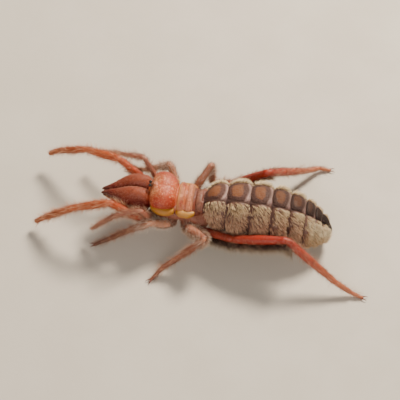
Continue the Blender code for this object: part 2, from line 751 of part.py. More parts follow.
def centre_on_floor():
    """Move every piece so that the middle of the whole outline stands over the origin."""
    low, high = np.full(3, np.inf), np.full(3, -np.inf)
    for piece in bpy.data.objects:
        places = np.array([vert.co for vert in piece.data.vertices])
        low = np.minimum(low, places.min(axis=0))
        high = np.maximum(high, places.max(axis=0))
    shift = Vector((-(low[0] + high[0]) / 2, -(low[1] + high[1]) / 2, -low[2]))
    for piece in bpy.data.objects:
        for vert in piece.data.vertices:
            vert.co += shift


def main():
    clear_scene()
    build_abdomen()
    build_shield()
    build_eyes()
    build_plate("mesopeltidium", MIDDLE_PLATE_OUTLINE)
    build_plate("metapeltidium", REAR_PLATE_OUTLINE)
    for side_name in SIDES:
        build_lobe(side_name)
        build_jaw(side_name)
        build_chest(side_name)
        for limb in LIMBS:
            build_limb(limb, side_name)
    centre_on_floor()


main()
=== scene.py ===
# A camel spider at life size: the finish of its skin, shell plates, jaws, limbs and coat.
import math

import bmesh
import bpy
import numpy as np
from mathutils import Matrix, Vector


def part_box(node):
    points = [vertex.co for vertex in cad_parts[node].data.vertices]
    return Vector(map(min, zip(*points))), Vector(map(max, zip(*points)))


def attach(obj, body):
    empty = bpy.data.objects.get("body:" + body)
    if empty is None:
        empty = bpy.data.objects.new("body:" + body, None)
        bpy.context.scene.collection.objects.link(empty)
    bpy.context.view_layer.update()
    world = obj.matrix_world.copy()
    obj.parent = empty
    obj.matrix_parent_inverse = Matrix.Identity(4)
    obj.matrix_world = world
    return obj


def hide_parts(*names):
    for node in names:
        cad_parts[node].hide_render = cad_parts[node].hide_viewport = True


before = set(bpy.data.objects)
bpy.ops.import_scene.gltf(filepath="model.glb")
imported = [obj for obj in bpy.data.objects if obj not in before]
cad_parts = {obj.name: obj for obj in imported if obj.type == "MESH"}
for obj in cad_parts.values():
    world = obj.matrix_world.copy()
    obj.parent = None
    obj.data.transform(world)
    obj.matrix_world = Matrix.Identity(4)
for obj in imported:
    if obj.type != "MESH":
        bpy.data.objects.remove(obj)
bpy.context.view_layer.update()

bl_info = {
    "name": "Camel spider model",
    "version": (1, 0, 0),
    "blender": (4, 5, 0),
    "location": "View3D > Sidebar > Camel spider",
    "description": "Builds a life-size camel spider with a bristly abdomen",
    "category": "Object",
}

# Lengths are in millimetres on the body: the head towards -X, its left side towards -Y
MM = 0.001
WELD = 1e-4
SIDES = {"left": -1.0, "right": 1.0}
# The rear edge of the shield's solid sets where the body lies in the frame
SHIELD_BACK = -4.7
SHIELD_LOW, SHIELD_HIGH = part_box("propeltidium")
SHIFT = np.array([SHIELD_HIGH.x / MM - SHIELD_BACK, (SHIELD_LOW.y + SHIELD_HIGH.y) / 2 / MM, 0.0])

# Abdomen: place along the body, height of its middle, half width, height above and below it
ABDOMEN_OUTLINE = [
    (-1.8, 8.0, 1.7, 1.0, 1.1), (-0.95, 8.1, 1.9, 1.2, 1.2), (-0.2, 8.1, 2.2, 1.4, 1.4),
    (0.7, 7.8, 2.8, 2.2, 2.0), (2.4, 7.3, 4.1, 4.1, 3.7), (5.0, 7.0, 4.9, 5.0, 5.1),
    (8.0, 6.8, 5.5, 5.4, 5.6), (12.0, 6.5, 5.6, 5.5, 5.6), (16.0, 6.0, 5.4, 5.2, 5.2),
    (19.5, 5.4, 4.8, 4.6, 4.6), (22.0, 4.8, 3.9, 3.6, 3.75), (23.6, 4.3, 2.8, 2.6, 2.85),
    (24.9, 3.9, 1.7, 1.6, 1.8), (25.6, 3.8, 1.2, 1.1, 1.2),
]
# The ends of a form: its first and last place, and how far in they are rounded
ABDOMEN_ENDS = (-1.8, 25.6, 0.8)
# The first ring is the narrow waist
RING_ENDS = np.array([-0.95, 0.7, 5.2, 9.6, 13.7, 17.15, 20.1, 22.0, 23.4, 24.9])
GROOVE_DEPTH = 0.95
# Half of the angle that a plate takes of the back or the belly, and how dark each back plate is
BACK_PLATE_ANGLE, BELLY_PLATE_ANGLE = 25.0, 34.0
PLATE_ENDS = (0.0, 1.0, 0.12)
PLATE_DARKNESS = [0.0, 0.14, 0.26, 0.5, 0.7, 0.86, 0.96, 1.0]
# The back leans to the right, more towards the tail: degrees at its start and end, and their places
FRONT_LEAN, TAIL_LEAN, LEAN_START, LEAN_END = 5.0, 13.0, 0.7, 19.0

# Front shield and the two plates behind it: place, half width, height of edge, height of top
SHIELD_OUTLINE = [
    (-9.75, 2.3, 10.0, 11.0), (-9.0, 3.7, 10.1, 11.6), (-7.9, 4.2, 10.2, 12.0),
    (-6.6, 4.15, 10.1, 11.9), (-5.4, 3.6, 9.7, 11.35), (-4.6, 2.85, 9.2, 10.7),
]
THORAX_PLATES = {
    "middle": ("mesopeltidium", [(-4.5, 2.9, 8.3, 10.1), (-4.05, 3.45, 8.1, 10.35), (-3.55, 3.5, 8.1, 10.3),
                                 (-3.0, 3.2, 8.3, 9.95)]),
    "rear": ("metapeltidium", [(-2.85, 3.2, 8.3, 9.9), (-2.35, 3.45, 8.1, 10.2), (-1.85, 3.4, 8.1, 10.1),
                               (-1.25, 3.0, 8.3, 9.7)]),
}
SHIELD_SAG, SHIELD_ROUNDING = 0.9, 0.45
PLATE_SAG, PLATE_ROUNDING = 0.2, 0.3
WAIST_ENDS = (-1.15, 0.75, 0.45)
TUBERCLE_PLACE, TUBERCLE_RADIUS, TUBERCLE_RISE = -9.15, 0.62, 0.75
EYE_RADIUS = 0.31
EYE_PLACE = (-9.72, 0.38, 12.0)
# Soft body wall between the plates and the leg bases: place, height, half width, half height
BODY_WALL = [
    (-10.4, 8.6, 1.8, 1.5), (-9.6, 8.4, 2.6, 1.9), (-8.0, 8.3, 3.2, 2.2), (-6.0, 8.2, 3.3, 2.2),
    (-4.7, 7.9, 3.2, 2.1), (-3.4, 7.7, 3.35, 2.38), (-2.3, 7.7, 3.3, 2.3), (-1.2, 7.6, 3.2, 1.95),
    (-0.4, 7.6, 3.0, 1.4), (0.5, 7.5, 2.6, 1.0),
]
BODY_WALL_ENDS = (-10.4, 0.5, 0.5)
# Core of the underside between the leg bases, as the body wall's rows
CHEST_CORE = [
    (-9.4, 7.0, 2.2, 1.0), (-8.4, 6.9, 3.4, 1.6), (-6.6, 6.7, 3.8, 2.0), (-4.6, 6.4, 3.5, 1.9),
    (-2.4, 6.2, 3.4, 1.7), (-0.4, 6.0, 4.1, 1.7), (1.0, 6.0, 4.4, 1.7), (2.4, 5.9, 3.4, 1.3),
]
CHEST_CORE_ENDS = (-9.4, 2.4, 0.6)

# Yellow side lobes: place, distance from the midline, height, half width, half height
MIDLINE = 0.12
OVAL_ROUNDING = 0.12
LOBE_OUTLINE = [
    (-9.35, 3.15, 8.75, 0.4, 0.45), (-8.7, 3.45, 8.8, 0.62, 0.68), (-7.8, 3.7, 8.8, 0.85, 0.85),
    (-6.6, 3.78, 8.75, 0.9, 0.85), (-5.6, 3.6, 8.6, 0.85, 0.8), (-4.7, 3.2, 8.4, 0.65, 0.6),
]
# Yellow fold beside the two rear plates, as the lobes' rows; the side that is turned down shows more of it
FOLD_OUTLINE = [
    (-4.45, 2.9, 8.3, 0.4, 0.4), (-3.9, 3.15, 8.3, 0.7, 0.62), (-2.8, 3.3, 8.25, 0.8, 0.68),
    (-1.6, 3.15, 8.15, 0.75, 0.62), (-0.8, 2.8, 8.05, 0.4, 0.4),
]
FOLD_SPREAD = {"left": 0.22, "right": -0.35}
# Jaws and their moving fingers, as the lobes' rows
JAW_SQUARENESS = 0.3
JAW_OUTLINE = [
    (-9.0, 1.4, 8.7, 0.9, 1.2), (-9.8, 1.5, 8.5, 1.25, 1.9), (-10.3, 1.55, 8.25, 1.55, 2.7),
    (-11.3, 1.55, 8.0, 1.75, 3.3), (-12.6, 1.5, 7.95, 1.75, 3.45), (-13.9, 1.45, 8.1, 1.65, 3.0),
    (-15.1, 1.3, 8.35, 1.4, 2.0), (-16.3, 1.0, 8.45, 1.0, 1.15), (-17.4, 0.75, 8.3, 0.65, 0.7),
    (-18.4, 0.55, 8.05, 0.42, 0.45), (-19.0, 0.48, 7.85, 0.3, 0.3), (-19.45, 0.45, 7.62, 0.14, 0.12),
]
FINGER_OUTLINE = [
    (-13.9, 1.3, 5.1, 0.45, 0.45), (-14.5, 1.25, 4.95, 0.55, 0.4), (-15.1, 1.15, 5.4, 0.8, 0.6),
    (-16.2, 0.95, 6.25, 0.7, 0.6), (-17.3, 0.75, 6.78, 0.55, 0.48), (-18.3, 0.58, 6.98, 0.38, 0.3),
    (-19.15, 0.47, 7.1, 0.12, 0.1),
]
TOOTH_RADIUS, TOOTH_ROOT = 0.15, 0.12

# Leg bases spread from the midline to each hip
HIPS = {
    "palp": (-10.0, 4.1, 5.2),
    "leg1": (-8.6, 4.4, 5.6),
    "leg2": (-5.4, 4.1, 5.2),
    "leg3": (-2.2, 4.1, 5.0),
    "leg4": (0.2, 4.3, 4.9),
}
COXA_ROOTS = {"palp": -7.9, "leg1": -6.6, "leg2": -4.8, "leg3": -3.0, "leg4": -1.6}
COXA_RADIUS = {"palp": 0.9, "leg1": 0.8, "leg2": 1.0, "leg3": 1.0, "leg4": 1.0}
COXA_ROOT_HEIGHT = 5.9
COXA_VOXEL = 0.13
# Five fan organs hang from the base of each last leg
FANS = 5
FAN_ENDS = (0.0, 1.4, 0.15)

# Limbs: each solid's name, its lengths, and radii at its start, its thick part and its end
LIMBS = {
    "palp": [
        ("femur", [8.8], (0.7, 0.86, 0.68)),
        ("tibia", [7.7], (0.68, 0.84, 0.66)),
        ("tarsus", [7.8, 2.0], (0.66, 0.7, 0.5)),
    ],
    "leg1": [
        ("femur", [6.4], (0.48, 0.56, 0.45)),
        ("tibia", [6.0], (0.45, 0.5, 0.42)),
        ("tarsus", [4.3, 2.5], (0.42, 0.42, 0.3)),
    ],
    "leg2": [
        ("femur", [5.1], (0.68, 0.86, 0.64)),
        ("tibia", [5.6], (0.64, 0.72, 0.54)),
        ("tarsus", [4.7, 3.5], (0.52, 0.48, 0.3)),
    ],
    "leg3": [
        ("femur", [6.8], (0.75, 0.92, 0.68)),
        ("tibia", [6.5], (0.68, 0.74, 0.56)),
        ("tarsus", [4.3, 3.1], (0.54, 0.5, 0.3)),
    ],
    "leg4": [
        ("trochanter", [7.4], (0.8, 0.88, 0.8)),
        ("femur", [10.7], (0.8, 1.05, 0.82)),
        ("tibia", [12.4], (0.8, 0.84, 0.62)),
        ("tarsus", [3.9, 2.2], (0.58, 0.5, 0.32)),
    ],
}
# The pose: outward turn from the tail's direction and rise above level, in degrees; None runs to the floor
POSE = {
    ("palp", "left"): [(175, 39), (177, -21), (-180, -37), (174, -38)],
    ("palp", "right"): [(164, 35), (162, -10), (164, -31), (-175, -31)],
    ("leg1", "left"): [(139, 66), (-178, -31), (177, -46), (171, -45)],
    ("leg1", "right"): [(140, 41), (159, -23), (161, -25), (162, -29)],
    ("leg2", "left"): [(145, 35), (-174, -42), (168, -34), (162, None)],
    ("leg2", "right"): [(117, 45), (143, -50), (159, -43), (172, None)],
    ("leg3", "left"): [(46, 27), (158, -42), (152, -30), (131, None)],
    ("leg3", "right"): [(53, 39), (105, -87), (31, -27), (26, None)],
    ("leg4", "left"): [(20, 13), (3, 15), (20, -32), (12, -29), (10, None)],
    ("leg4", "right"): [(46, -23), (-14, 47), (44, -36), (41, -25), (6, None)],
}
# Skins are slimmer than the solids, most of all on one far leg
SKIN_GIRTH, THIN_LEG_GIRTH = 0.9, 0.78
# A limb runs through points this far apart, and starts this far inside its base
LIMB_STEP, LIMB_LEAD = 0.1, 1.2
FOOT_HEIGHT = 0.26
CLAWED_LEGS = ("leg2", "leg3", "leg4")
CLAW_LENGTH, CLAW_SPREAD = 1.1, 26.0
# Skin of each limb: colours from hip to foot and at the joints; None is the setting for the limbs
LIMB_SKINS = {
    "palp": ((0.54, 0.024, 0.001), (0.46, 0.07, 0.008), (0.22, 0.05, 0.010), (0.60, 0.20, 0.08)),
    "leg1": ((0.44, 0.10, 0.05), (0.38, 0.13, 0.085), (0.32, 0.12, 0.07), (0.56, 0.30, 0.20)),
    # Leg II's pale hip colour is partly painted light, as on lit hairs
    "leg2": ((0.95, 0.45, 0.28), (0.17, 0.03, 0.008), (0.08, 0.016, 0.004), (0.60, 0.30, 0.18)),
    "leg3": ((0.78, 0.32, 0.20), (0.21, 0.038, 0.012), (0.16, 0.034, 0.010), (0.56, 0.24, 0.13)),
    "leg4": ((0.24, 0.034, 0.014), None, (0.52, 0.20, 0.09), (0.44, 0.06, 0.02)),
}

# Hair: colours at its root, middle and tip and where it is pale, and how much darker some hairs are
HAIR = {
    "flank_bristles": ((0.20, 0.075, 0.05), (0.80, 0.45, 0.28), (1.0, 0.76, 0.50), (1.0, 0.82, 0.48), 0.55),
    # Cream fringe on the far flank only: painted rim light
    "backlit_fringe_hairs": ((0.34, 0.17, 0.07), (0.80, 0.54, 0.26), (0.98, 0.82, 0.50), (1.0, 0.87, 0.58), 0.75),
    "tail_hairs": ((0.46, 0.25, 0.12), (0.88, 0.64, 0.36), (1.0, 0.86, 0.56), (1.0, 0.9, 0.64), 0.6),
    "plate_hairs": ((0.05, 0.025, 0.02), (0.13, 0.07, 0.05), (0.30, 0.20, 0.14), (0.3, 0.2, 0.14), 0.42),
    "shield_hairs": ((0.42, 0.11, 0.045), (0.66, 0.28, 0.14), (0.86, 0.52, 0.31), (0.9, 0.7, 0.5), 0.42),
    "jaw_hairs": ((0.24, 0.02, 0.006), (0.50, 0.14, 0.075), (0.92, 0.54, 0.38), (0.9, 0.72, 0.54), 0.42),
    "jaw_bristles": ((0.14, 0.016, 0.008), (0.32, 0.07, 0.035), (0.66, 0.32, 0.19), (0.8, 0.5, 0.34), 0.42),
    "leg_base_hairs": ((0.12, 0.035, 0.02), (0.32, 0.13, 0.075), (0.66, 0.42, 0.28), (0.85, 0.7, 0.55), 0.42),
    "palp_hairs": ((0.36, 0.035, 0.005), (0.55, 0.13, 0.036), (0.89, 0.46, 0.22), (0.95, 0.7, 0.5), 0.42),
    "palp_bristles": ((0.45, 0.12, 0.045), (0.80, 0.42, 0.23), (1.0, 0.76, 0.54), (1.0, 0.88, 0.72), 0.42),
    "leg_hairs": ((0.24, 0.055, 0.028), (0.44, 0.165, 0.10), (0.86, 0.62, 0.46), (1.0, 0.80, 0.64), 0.42),
    "leg_bristles": ((0.32, 0.10, 0.05), (0.62, 0.32, 0.19), (0.94, 0.70, 0.48), (1.0, 0.88, 0.72), 0.42),
    # Long hair under the hind legs: its dark roots and middles are partly painted shade
    "shaded_long_limb_hairs": ((0.05, 0.02, 0.015), (0.12, 0.055, 0.04), (0.80, 0.62, 0.42), (0.85, 0.7, 0.55), 0.42),
    "thick_leg_hairs": ((0.18, 0.06, 0.035), (0.42, 0.20, 0.12), (0.92, 0.70, 0.50), (0.95, 0.8, 0.6), 0.42),
}
HAIR_ROUGHNESS = (0.4, 0.65)
# Shares of a hair's length at which it has corners, before its tip
SHORT_HAIR, LONG_HAIR = (0.0, 0.5), (0.0, 0.4, 0.75)
# Each tuft is chosen from this many places, by the area and density there
CANDIDATES = 5

# Camera round a point over the middle of the body, and the lights: place, size, power and colour
CAMERA_TARGET = (-0.356, 1.065, 6.975)
CAMERA_TURN, CAMERA_RISE = 8.6, 55.0
CAMERA_DISTANCE, CAMERA_LENS = 225.2, 105.0
LIGHTS = {
    "key_light": ((0.13, 0.26, 0.30), 0.12, 3.7, (1.0, 0.89, 0.74)),
    "fill_light": ((0.0, -0.36, 0.24), 0.36, 1.15, (1.0, 0.94, 0.86)),
}


def length_setting(name, description, default, low, high):
    return bpy.props.FloatProperty(
        name=name, description=description, default=default * MM, min=low * MM, max=high * MM,
        subtype="DISTANCE", unit="LENGTH")


def colour_setting(name, description, default):
    return bpy.props.FloatVectorProperty(
        name=name, description=description, default=default, subtype="COLOR", size=3)


class CamelSpiderLooks(bpy.types.PropertyGroup):
    """Sizes and colours of the camel spider's finish"""

    bristle_length: length_setting("Bristle length", "Length of the bristles on the abdomen's flanks", 1.45, 0.2, 5)
    bristle_tufts: bpy.props.IntProperty(
        name="Bristle tufts", description="Number of bristle tufts on each flank", default=2500, min=10)
    fine_hair_length: length_setting("Fine hair length", "Length of the short hair on the limbs", 1.0, 0.1, 3)
    hair_radius: length_setting("Hair radius", "Radius of a hair at its root", 0.03, 0.005, 0.1)
    jaw_colour: colour_setting("Jaw", "Main colour of the jaws", (0.18, 0.0035, 0.0004))
    jaw_tip_colour: colour_setting("Jaw tips", "Colour of the fingers of the jaws", (0.115, 0.024, 0.015))
    shield_colour: colour_setting("Shield", "Colour of the front shield", (0.60, 0.10, 0.032))
    yellow_colour: colour_setting("Side lobes", "Colour of the soft lobes beside the shield", (0.44, 0.20, 0.018))
    plate_colour: colour_setting("Back plates", "Ground colour of the plates of the back", (0.055, 0.020, 0.015))
    patch_colour: colour_setting("Back patches", "Patch in the middle of each back plate", (0.25, 0.088, 0.028))
    flank_colour: colour_setting("Flanks", "Skin of the abdomen's flanks", (0.17, 0.075, 0.055))
    limb_colour: colour_setting("Limbs", "Main colour of the limbs", (0.32, 0.010, 0.0015))


def looks():
    return bpy.context.scene.camel_spider_looks


# Shape helpers

def smooth_rows(rows, places):
    """Values at the places, on a smooth curve through rows of (place, value, ...)."""
    table = np.array(sorted(rows), dtype=float)
    x, y = table[:, 0], table[:, 1:]
    slopes = np.gradient(y, x, axis=0)
    i = np.clip(np.searchsorted(x, places) - 1, 0, len(x) - 2)
    width = (x[i + 1] - x[i])[:, None]
    t = np.clip((places - x[i])[:, None] / width, 0.0, 1.0)
    start = (1 + 2 * t) * (1 - t) ** 2 * y[i] + t * (1 - t) ** 2 * width * slopes[i]
    end = t * t * (3 - 2 * t) * y[i + 1] + t * t * (t - 1) * width * slopes[i + 1]
    return (start + end).T


def ramp(value, length=1.0, low=0.0, high=1.0):
    """Share of a length that a value has run through, kept between low and high."""
    return np.clip(value / length, low, high)


def bump(distance, width):
    """A smooth hill of height 1 and the given half width."""
    return np.exp(-(distance / width) ** 2)


def unit(vectors):
    return vectors / np.maximum(np.linalg.norm(vectors, axis=-1, keepdims=True), 1e-9)


def height_of(turns):
    """Sine of a turn that starts at the side: 1 at the top, -1 at the bottom."""
    return np.sin(np.radians(turns))


def from_back(turns):
    """Angle from the middle of the back, whichever side it is on."""
    return np.minimum(turns % 360.0, 360.0 - turns % 360.0)


def ends_of(outline, rounding):
    places = [row[0] for row in outline]
    return min(places), max(places), rounding


def rounded_ends(places, first, last, rounding):
    """Share of the full girth that is left near the two rounded ends of a form."""
    into = ramp(np.minimum(places - first, last - places), rounding)
    return np.sqrt(1 - (1 - into) ** 2)


def loft(surface, ends, rows, columns, **values):
    """A closed mesh over a surface, round by round, closer together in its rounded ends. It has named values
    on its points."""
    first, last, rounding = ends
    cap = rounding * (1 - np.cos(np.linspace(0, math.pi / 2, 7)))
    middle = np.linspace(first + rounding, last - rounding, rows)
    places = np.concatenate([first + cap[:-1], middle, (last - cap[:-1])[::-1]])
    steps = len(places) - 1
    bm = bmesh.new()
    bmesh.ops.create_grid(bm, x_segments=columns, y_segments=steps, size=1.0)
    grid = np.array([vert.co[:2] for vert in bm.verts])
    turns = (grid[:, 0] + 1) * 180.0
    at = places[np.rint((grid[:, 1] + 1) / 2 * steps).astype(int)]
    for name, value in values.items():
        layer = bm.verts.layers.float.new(name)
        for vert, amount in zip(bm.verts, value(at, turns)):
            vert[layer] = amount
    for vert, point in zip(bm.verts, surface(at, turns)):
        vert.co = point
    bmesh.ops.remove_doubles(bm, verts=bm.verts, dist=WELD)
    return bm


def mesh_of(bm, name):
    mesh = bpy.data.meshes.new(name)
    bm.to_mesh(mesh)
    bm.free()
    return mesh


def append(bm, other):
    """Add another mesh's shapes to this one."""
    mesh = mesh_of(other, "part")
    bm.from_mesh(mesh)
    bpy.data.meshes.remove(mesh)


def add_object(name, data):
    item = bpy.data.objects.new(name, data)
    bpy.context.scene.collection.objects.link(item)
    return item


def add_piece(name, bm, material, replaced=()):
    """Write a mesh in millimetres on the body as a finished piece of the object, in metres."""
    bmesh.ops.recalc_face_normals(bm, faces=bm.faces)
    bmesh.ops.scale(bm, vec=(MM, MM, MM), verts=bm.verts)
    bmesh.ops.translate(bm, vec=Vector(SHIFT * MM), verts=bm.verts)
    finish_piece(name, mesh_of(bm, name), material, replaced)


def finish_piece(name, mesh, material, replaced=()):
    mesh.shade_smooth()
    mesh.materials.append(material)
    piece = add_object(name, mesh)
    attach(piece, "root")
    if replaced:
        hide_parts(*replaced)


# Shader helpers

def add_node(tree, kind, inputs=(), **settings):
    """A node with its settings, and its inputs linked from sockets or set to values, a colour as three."""
    node = tree.nodes.new(kind)
    for key, value in settings.items():
        setattr(node, key, value)
    for key, value in dict(inputs).items():
        socket = node.inputs[key]
        if isinstance(value, bpy.types.NodeSocket):
            tree.links.new(value, socket)
        elif socket.type == "RGBA":
            socket.default_value = (*value[:3], 1.0)
        else:
            socket.default_value = value
    return node


def mix(tree, share, low, high):
    """Colour between low and high."""
    return add_node(tree, "ShaderNodeMix", {0: share, 6: low, 7: high}, data_type="RGBA").outputs[2]


def calculate(tree, operation, first, second, clamp=False):
    return add_node(tree, "ShaderNodeMath", {0: first, 1: second}, operation=operation, use_clamp=clamp).outputs[0]


def times(tree, first, second):
    return calculate(tree, "MULTIPLY", first, second)


def remap(tree, value, low, high, new_low=0.0, new_high=1.0):
    inputs = {"Value": value, "From Min": low, "From Max": high, "To Min": new_low, "To Max": new_high}
    return add_node(tree, "ShaderNodeMapRange", inputs, interpolation_type="SMOOTHSTEP").outputs["Result"]


def attribute(tree, name):
    return add_node(tree, "ShaderNodeAttribute", attribute_name=name).outputs["Fac"]


def new_group(name, inputs, outputs):
    """An empty shader node group, with its sockets, its input node's outputs and its output node's inputs."""
    group = bpy.data.node_groups.new(name, "ShaderNodeTree")
    for label, kind, default in inputs:
        socket = group.interface.new_socket(label, in_out="INPUT", socket_type=kind)
        if default is not None:
            socket.default_value = default
    for label, kind in outputs:
        group.interface.new_socket(label, in_out="OUTPUT", socket_type=kind)
    return group, group.nodes.new("NodeGroupInput").outputs, group.nodes.new("NodeGroupOutput").inputs


def skin_grain_group(name):
    """Uneven tone, fine stipple and height of a living skin."""
    number = "NodeSocketFloat"
    group, given, result = new_group(
        name,
        [("Vector", "NodeSocketVector", None), ("Patch Scale", number, 600.0), ("Stipple Scale", number, 4500.0)],
        [("Patches", number), ("Stipple", number), ("Height", number)])
    patches = add_node(group, "ShaderNodeTexNoise", {
        "Vector": given["Vector"], "Scale": given["Patch Scale"], "Detail": 4.0, "Roughness": 0.6})
    pits = add_node(group, "ShaderNodeTexVoronoi", {
        "Vector": given["Vector"], "Scale": given["Stipple Scale"]}, feature="F1")
    crease = add_node(group, "ShaderNodeTexNoise", {
        "Vector": given["Vector"], "Scale": times(group, given["Patch Scale"], 4.0),
        "Detail": 3.0, "Distortion": 0.6})
    stipple = remap(group, pits.outputs["Distance"], 0.15, 0.6)
    height = calculate(group, "ADD", stipple, times(group, crease.outputs["Fac"], 1.5))
    group.links.new(remap(group, patches.outputs["Fac"], 0.3, 0.7), result["Patches"])
    group.links.new(stipple, result["Stipple"])
    group.links.new(height, result["Height"])
    return group


def three_tone_group(name):
    """Three colours in turn as a share rises from 0 to 1."""
    colour = "NodeSocketColor"
    group, given, result = new_group(
        name,
        [("Share", "NodeSocketFloat", 0.5), ("First", colour, None), ("Second", colour, None),
         ("Third", colour, None)],
        [("Colour", colour)])
    first = mix(group, remap(group, given["Share"], 0.05, 0.5), given["First"], given["Second"])
    group.links.new(mix(group, remap(group, given["Share"], 0.5, 0.95), first, given["Third"]), result["Colour"])
    return group


def use_group(tree, name, build, inputs):
    """Outputs of a shared shader node group, which is built when it is first used."""
    group = bpy.data.node_groups.get(name) or build(name)
    return add_node(tree, "ShaderNodeGroup", inputs, node_tree=group).outputs


def three_tones(tree, first, second, third):
    return use_group(tree, "three_tones", three_tone_group, {
        "Share": attribute(tree, "along"), "First": first, "Second": second, "Third": third})["Colour"]


def new_material(name):
    material = bpy.data.materials.new(name)
    material.use_nodes = True
    tree = material.node_tree
    return material, tree, tree.nodes["Principled BSDF"]


def new_skin(name, patch_scale, stipple_scale):
    """A new material with the skin's grain in it."""
    material, tree, shader = new_material(name)
    place = add_node(tree, "ShaderNodeTexCoord").outputs["Object"]
    grain = use_group(tree, "skin_grain", skin_grain_group, {
        "Vector": place, "Patch Scale": patch_scale, "Stipple Scale": stipple_scale})
    return material, tree, shader, grain


def finish_skin(tree, shader, colour, grain, roughness, relief, soft=0.0, coat=0.0, gloss=None):
    """Join colour, roughness and relief to the shader; gloss is a share by which it is smoother."""
    tree.links.new(colour, shader.inputs["Base Color"])
    rough = remap(tree, grain["Patches"], 0.0, 1.0, *roughness)
    if gloss is not None:
        rough = calculate(tree, "SUBTRACT", rough, times(tree, gloss, 0.22))
    tree.links.new(rough, shader.inputs["Roughness"])
    bumps = add_node(tree, "ShaderNodeBump", {"Height": grain["Height"], "Strength": relief, "Distance": 0.04 * MM})
    tree.links.new(bumps.outputs["Normal"], shader.inputs["Normal"])
    fixed = {"Subsurface Weight": soft, "Subsurface Radius": (1.0, 0.35, 0.15), "Subsurface Scale": 0.4 * MM,
             "Coat Weight": coat, "Coat Roughness": 0.3}
    for key, value in fixed.items():
        shader.inputs[key].default_value = value


def darker(colour, share):
    return tuple(channel * share for channel in colour)


def skin_material(name, scales, base, layers, roughness, relief, **finish):
    """A skin with colours laid over its base in turn. A layer is where it lies, how strongly, and its colour.
    Where it lies is the grain's Patches or Stipple, or a value of the mesh, alone or with the range it is
    taken from and to. Its strength is a number or such a value. A base of three colours runs along a limb."""
    material, tree, shader, grain = new_skin(name, *scales)

    def share(source):
        label, *span = [source] if isinstance(source, str) else source
        found = grain[label] if label in ("Patches", "Stipple") else attribute(tree, label)
        return remap(tree, found, *span) if span else found

    colour = three_tones(tree, *base) if isinstance(base[0], tuple) else base
    for source, strength, over in layers:
        if isinstance(strength, tuple):
            strength = share(strength)
        cover = share(source) if strength == 1.0 else times(tree, share(source), strength)
        colour = mix(tree, cover, colour, over)
    finish_skin(tree, shader, colour, grain, roughness, relief, **finish)
    return material


def lobe_material(name, colour, deep):
    """Soft swollen skin with a waxy gloss."""
    return skin_material(name, (350.0, 2600.0), colour, [("Patches", 0.5, deep)], (0.46, 0.62), 0.6,
                         soft=0.2, coat=0.02)


def finger_material():
    """Nearly black horn of the fingers and claws."""
    return skin_material("finger_horn", (700.0, 3600.0), (0.17, 0.018, 0.006), [
        (("finger", 0.0, 0.6), 1.0, looks().jaw_tip_colour),
        ("Patches", 0.4, (0.08, 0.010, 0.005)),
    ], (0.34, 0.48), 0.3, coat=0.06)


def limb_material(limb):
    """Skin of a limb: three tones from hip to foot, paler rings at its joints and painted shade on its underside."""
    first, second, third, joint = LIMB_SKINS[limb]
    second = second or tuple(looks().limb_colour)
    return skin_material(f"{limb}_skin", (500.0, 5200.0), (first, second, third), [
        ("Patches", 0.35, darker(second, 0.55)),
        ("Stipple", 0.25, joint),
        # Painted shade: darker on the limb's underside
        ("under", 0.55, darker(second, 0.45)),
        ("joint", 0.6, joint),
    ], (0.36, 0.55), 0.5, soft=0.12)


def back_plate_material():
    """Dark plate with an orange-brown patch and a pale glossy rear edge, partly its own colour and partly painted
    sheen, darker towards the tail.
    """
    material, tree, shader, grain = new_skin("back_plate_shell", 520.0, 3400.0)
    ground = mix(tree, grain["Patches"], looks().plate_colour, (0.085, 0.034, 0.026))
    patch = mix(tree, times(tree, grain["Patches"], 0.5), looks().patch_colour, (0.15, 0.042, 0.016))
    wobble = times(tree, calculate(tree, "SUBTRACT", grain["Patches"], 0.5), 0.65)
    edge = calculate(tree, "ADD", attribute(tree, "patch"), wobble)
    patched = mix(tree, remap(tree, edge, 0.1, 1.0), ground, patch)
    rim = attribute(tree, "rim")
    # Pale rim: partly its own colour, partly painted sheen
    pale = mix(tree, calculate(tree, "ADD", rim, times(tree, wobble, rim), clamp=True), patched, (0.54, 0.34, 0.29))
    flecked = mix(tree, times(tree, grain["Stipple"], 0.16), pale, (0.32, 0.2, 0.17))
    shade = mix(tree, attribute(tree, "tail"), flecked, (0.013, 0.006, 0.005))
    finish_skin(tree, shader, shade, grain, (0.56, 0.7), 0.8, gloss=rim)
    shader.inputs["Specular IOR Level"].default_value = 0.16
    return material


def hair_material(name):
    """Hair that changes from root to tip, hair by hair, and turns paler where its pale share rises."""
    root, middle, tip, pale, variation = HAIR[name]
    material, tree, shader = new_material(name)
    tones = three_tones(tree, root, middle, tip)
    pale_share = times(tree, attribute(tree, "pale"), remap(tree, attribute(tree, "along"), 0.0, 0.6))
    tone = attribute(tree, "tone")
    colour = mix(tree, remap(tree, tone, 0.0, 1.0, 0.0, variation), mix(tree, pale_share, tones, pale),
                 darker(root, 0.8))
    tree.links.new(colour, shader.inputs["Base Color"])
    tree.links.new(remap(tree, tone, 0.0, 1.0, *HAIR_ROUGHNESS), shader.inputs["Roughness"])
    return material


# Abdomen

def ring_share(places):
    """Share of its ring that is passed at each place, and the ring's length."""
    number = np.clip(np.searchsorted(RING_ENDS, places, side="right") - 1, 0, len(RING_ENDS) - 2)
    start, end = RING_ENDS[number], RING_ENDS[number + 1]
    return ramp(places - start, end - start), end - start


def ring_groove(places):
    """1 in the groove between two rings, 0 on the swell of a ring."""
    share, _ = ring_share(places)
    return 1.0 - np.sin(math.pi * share ** 1.08) ** 0.5


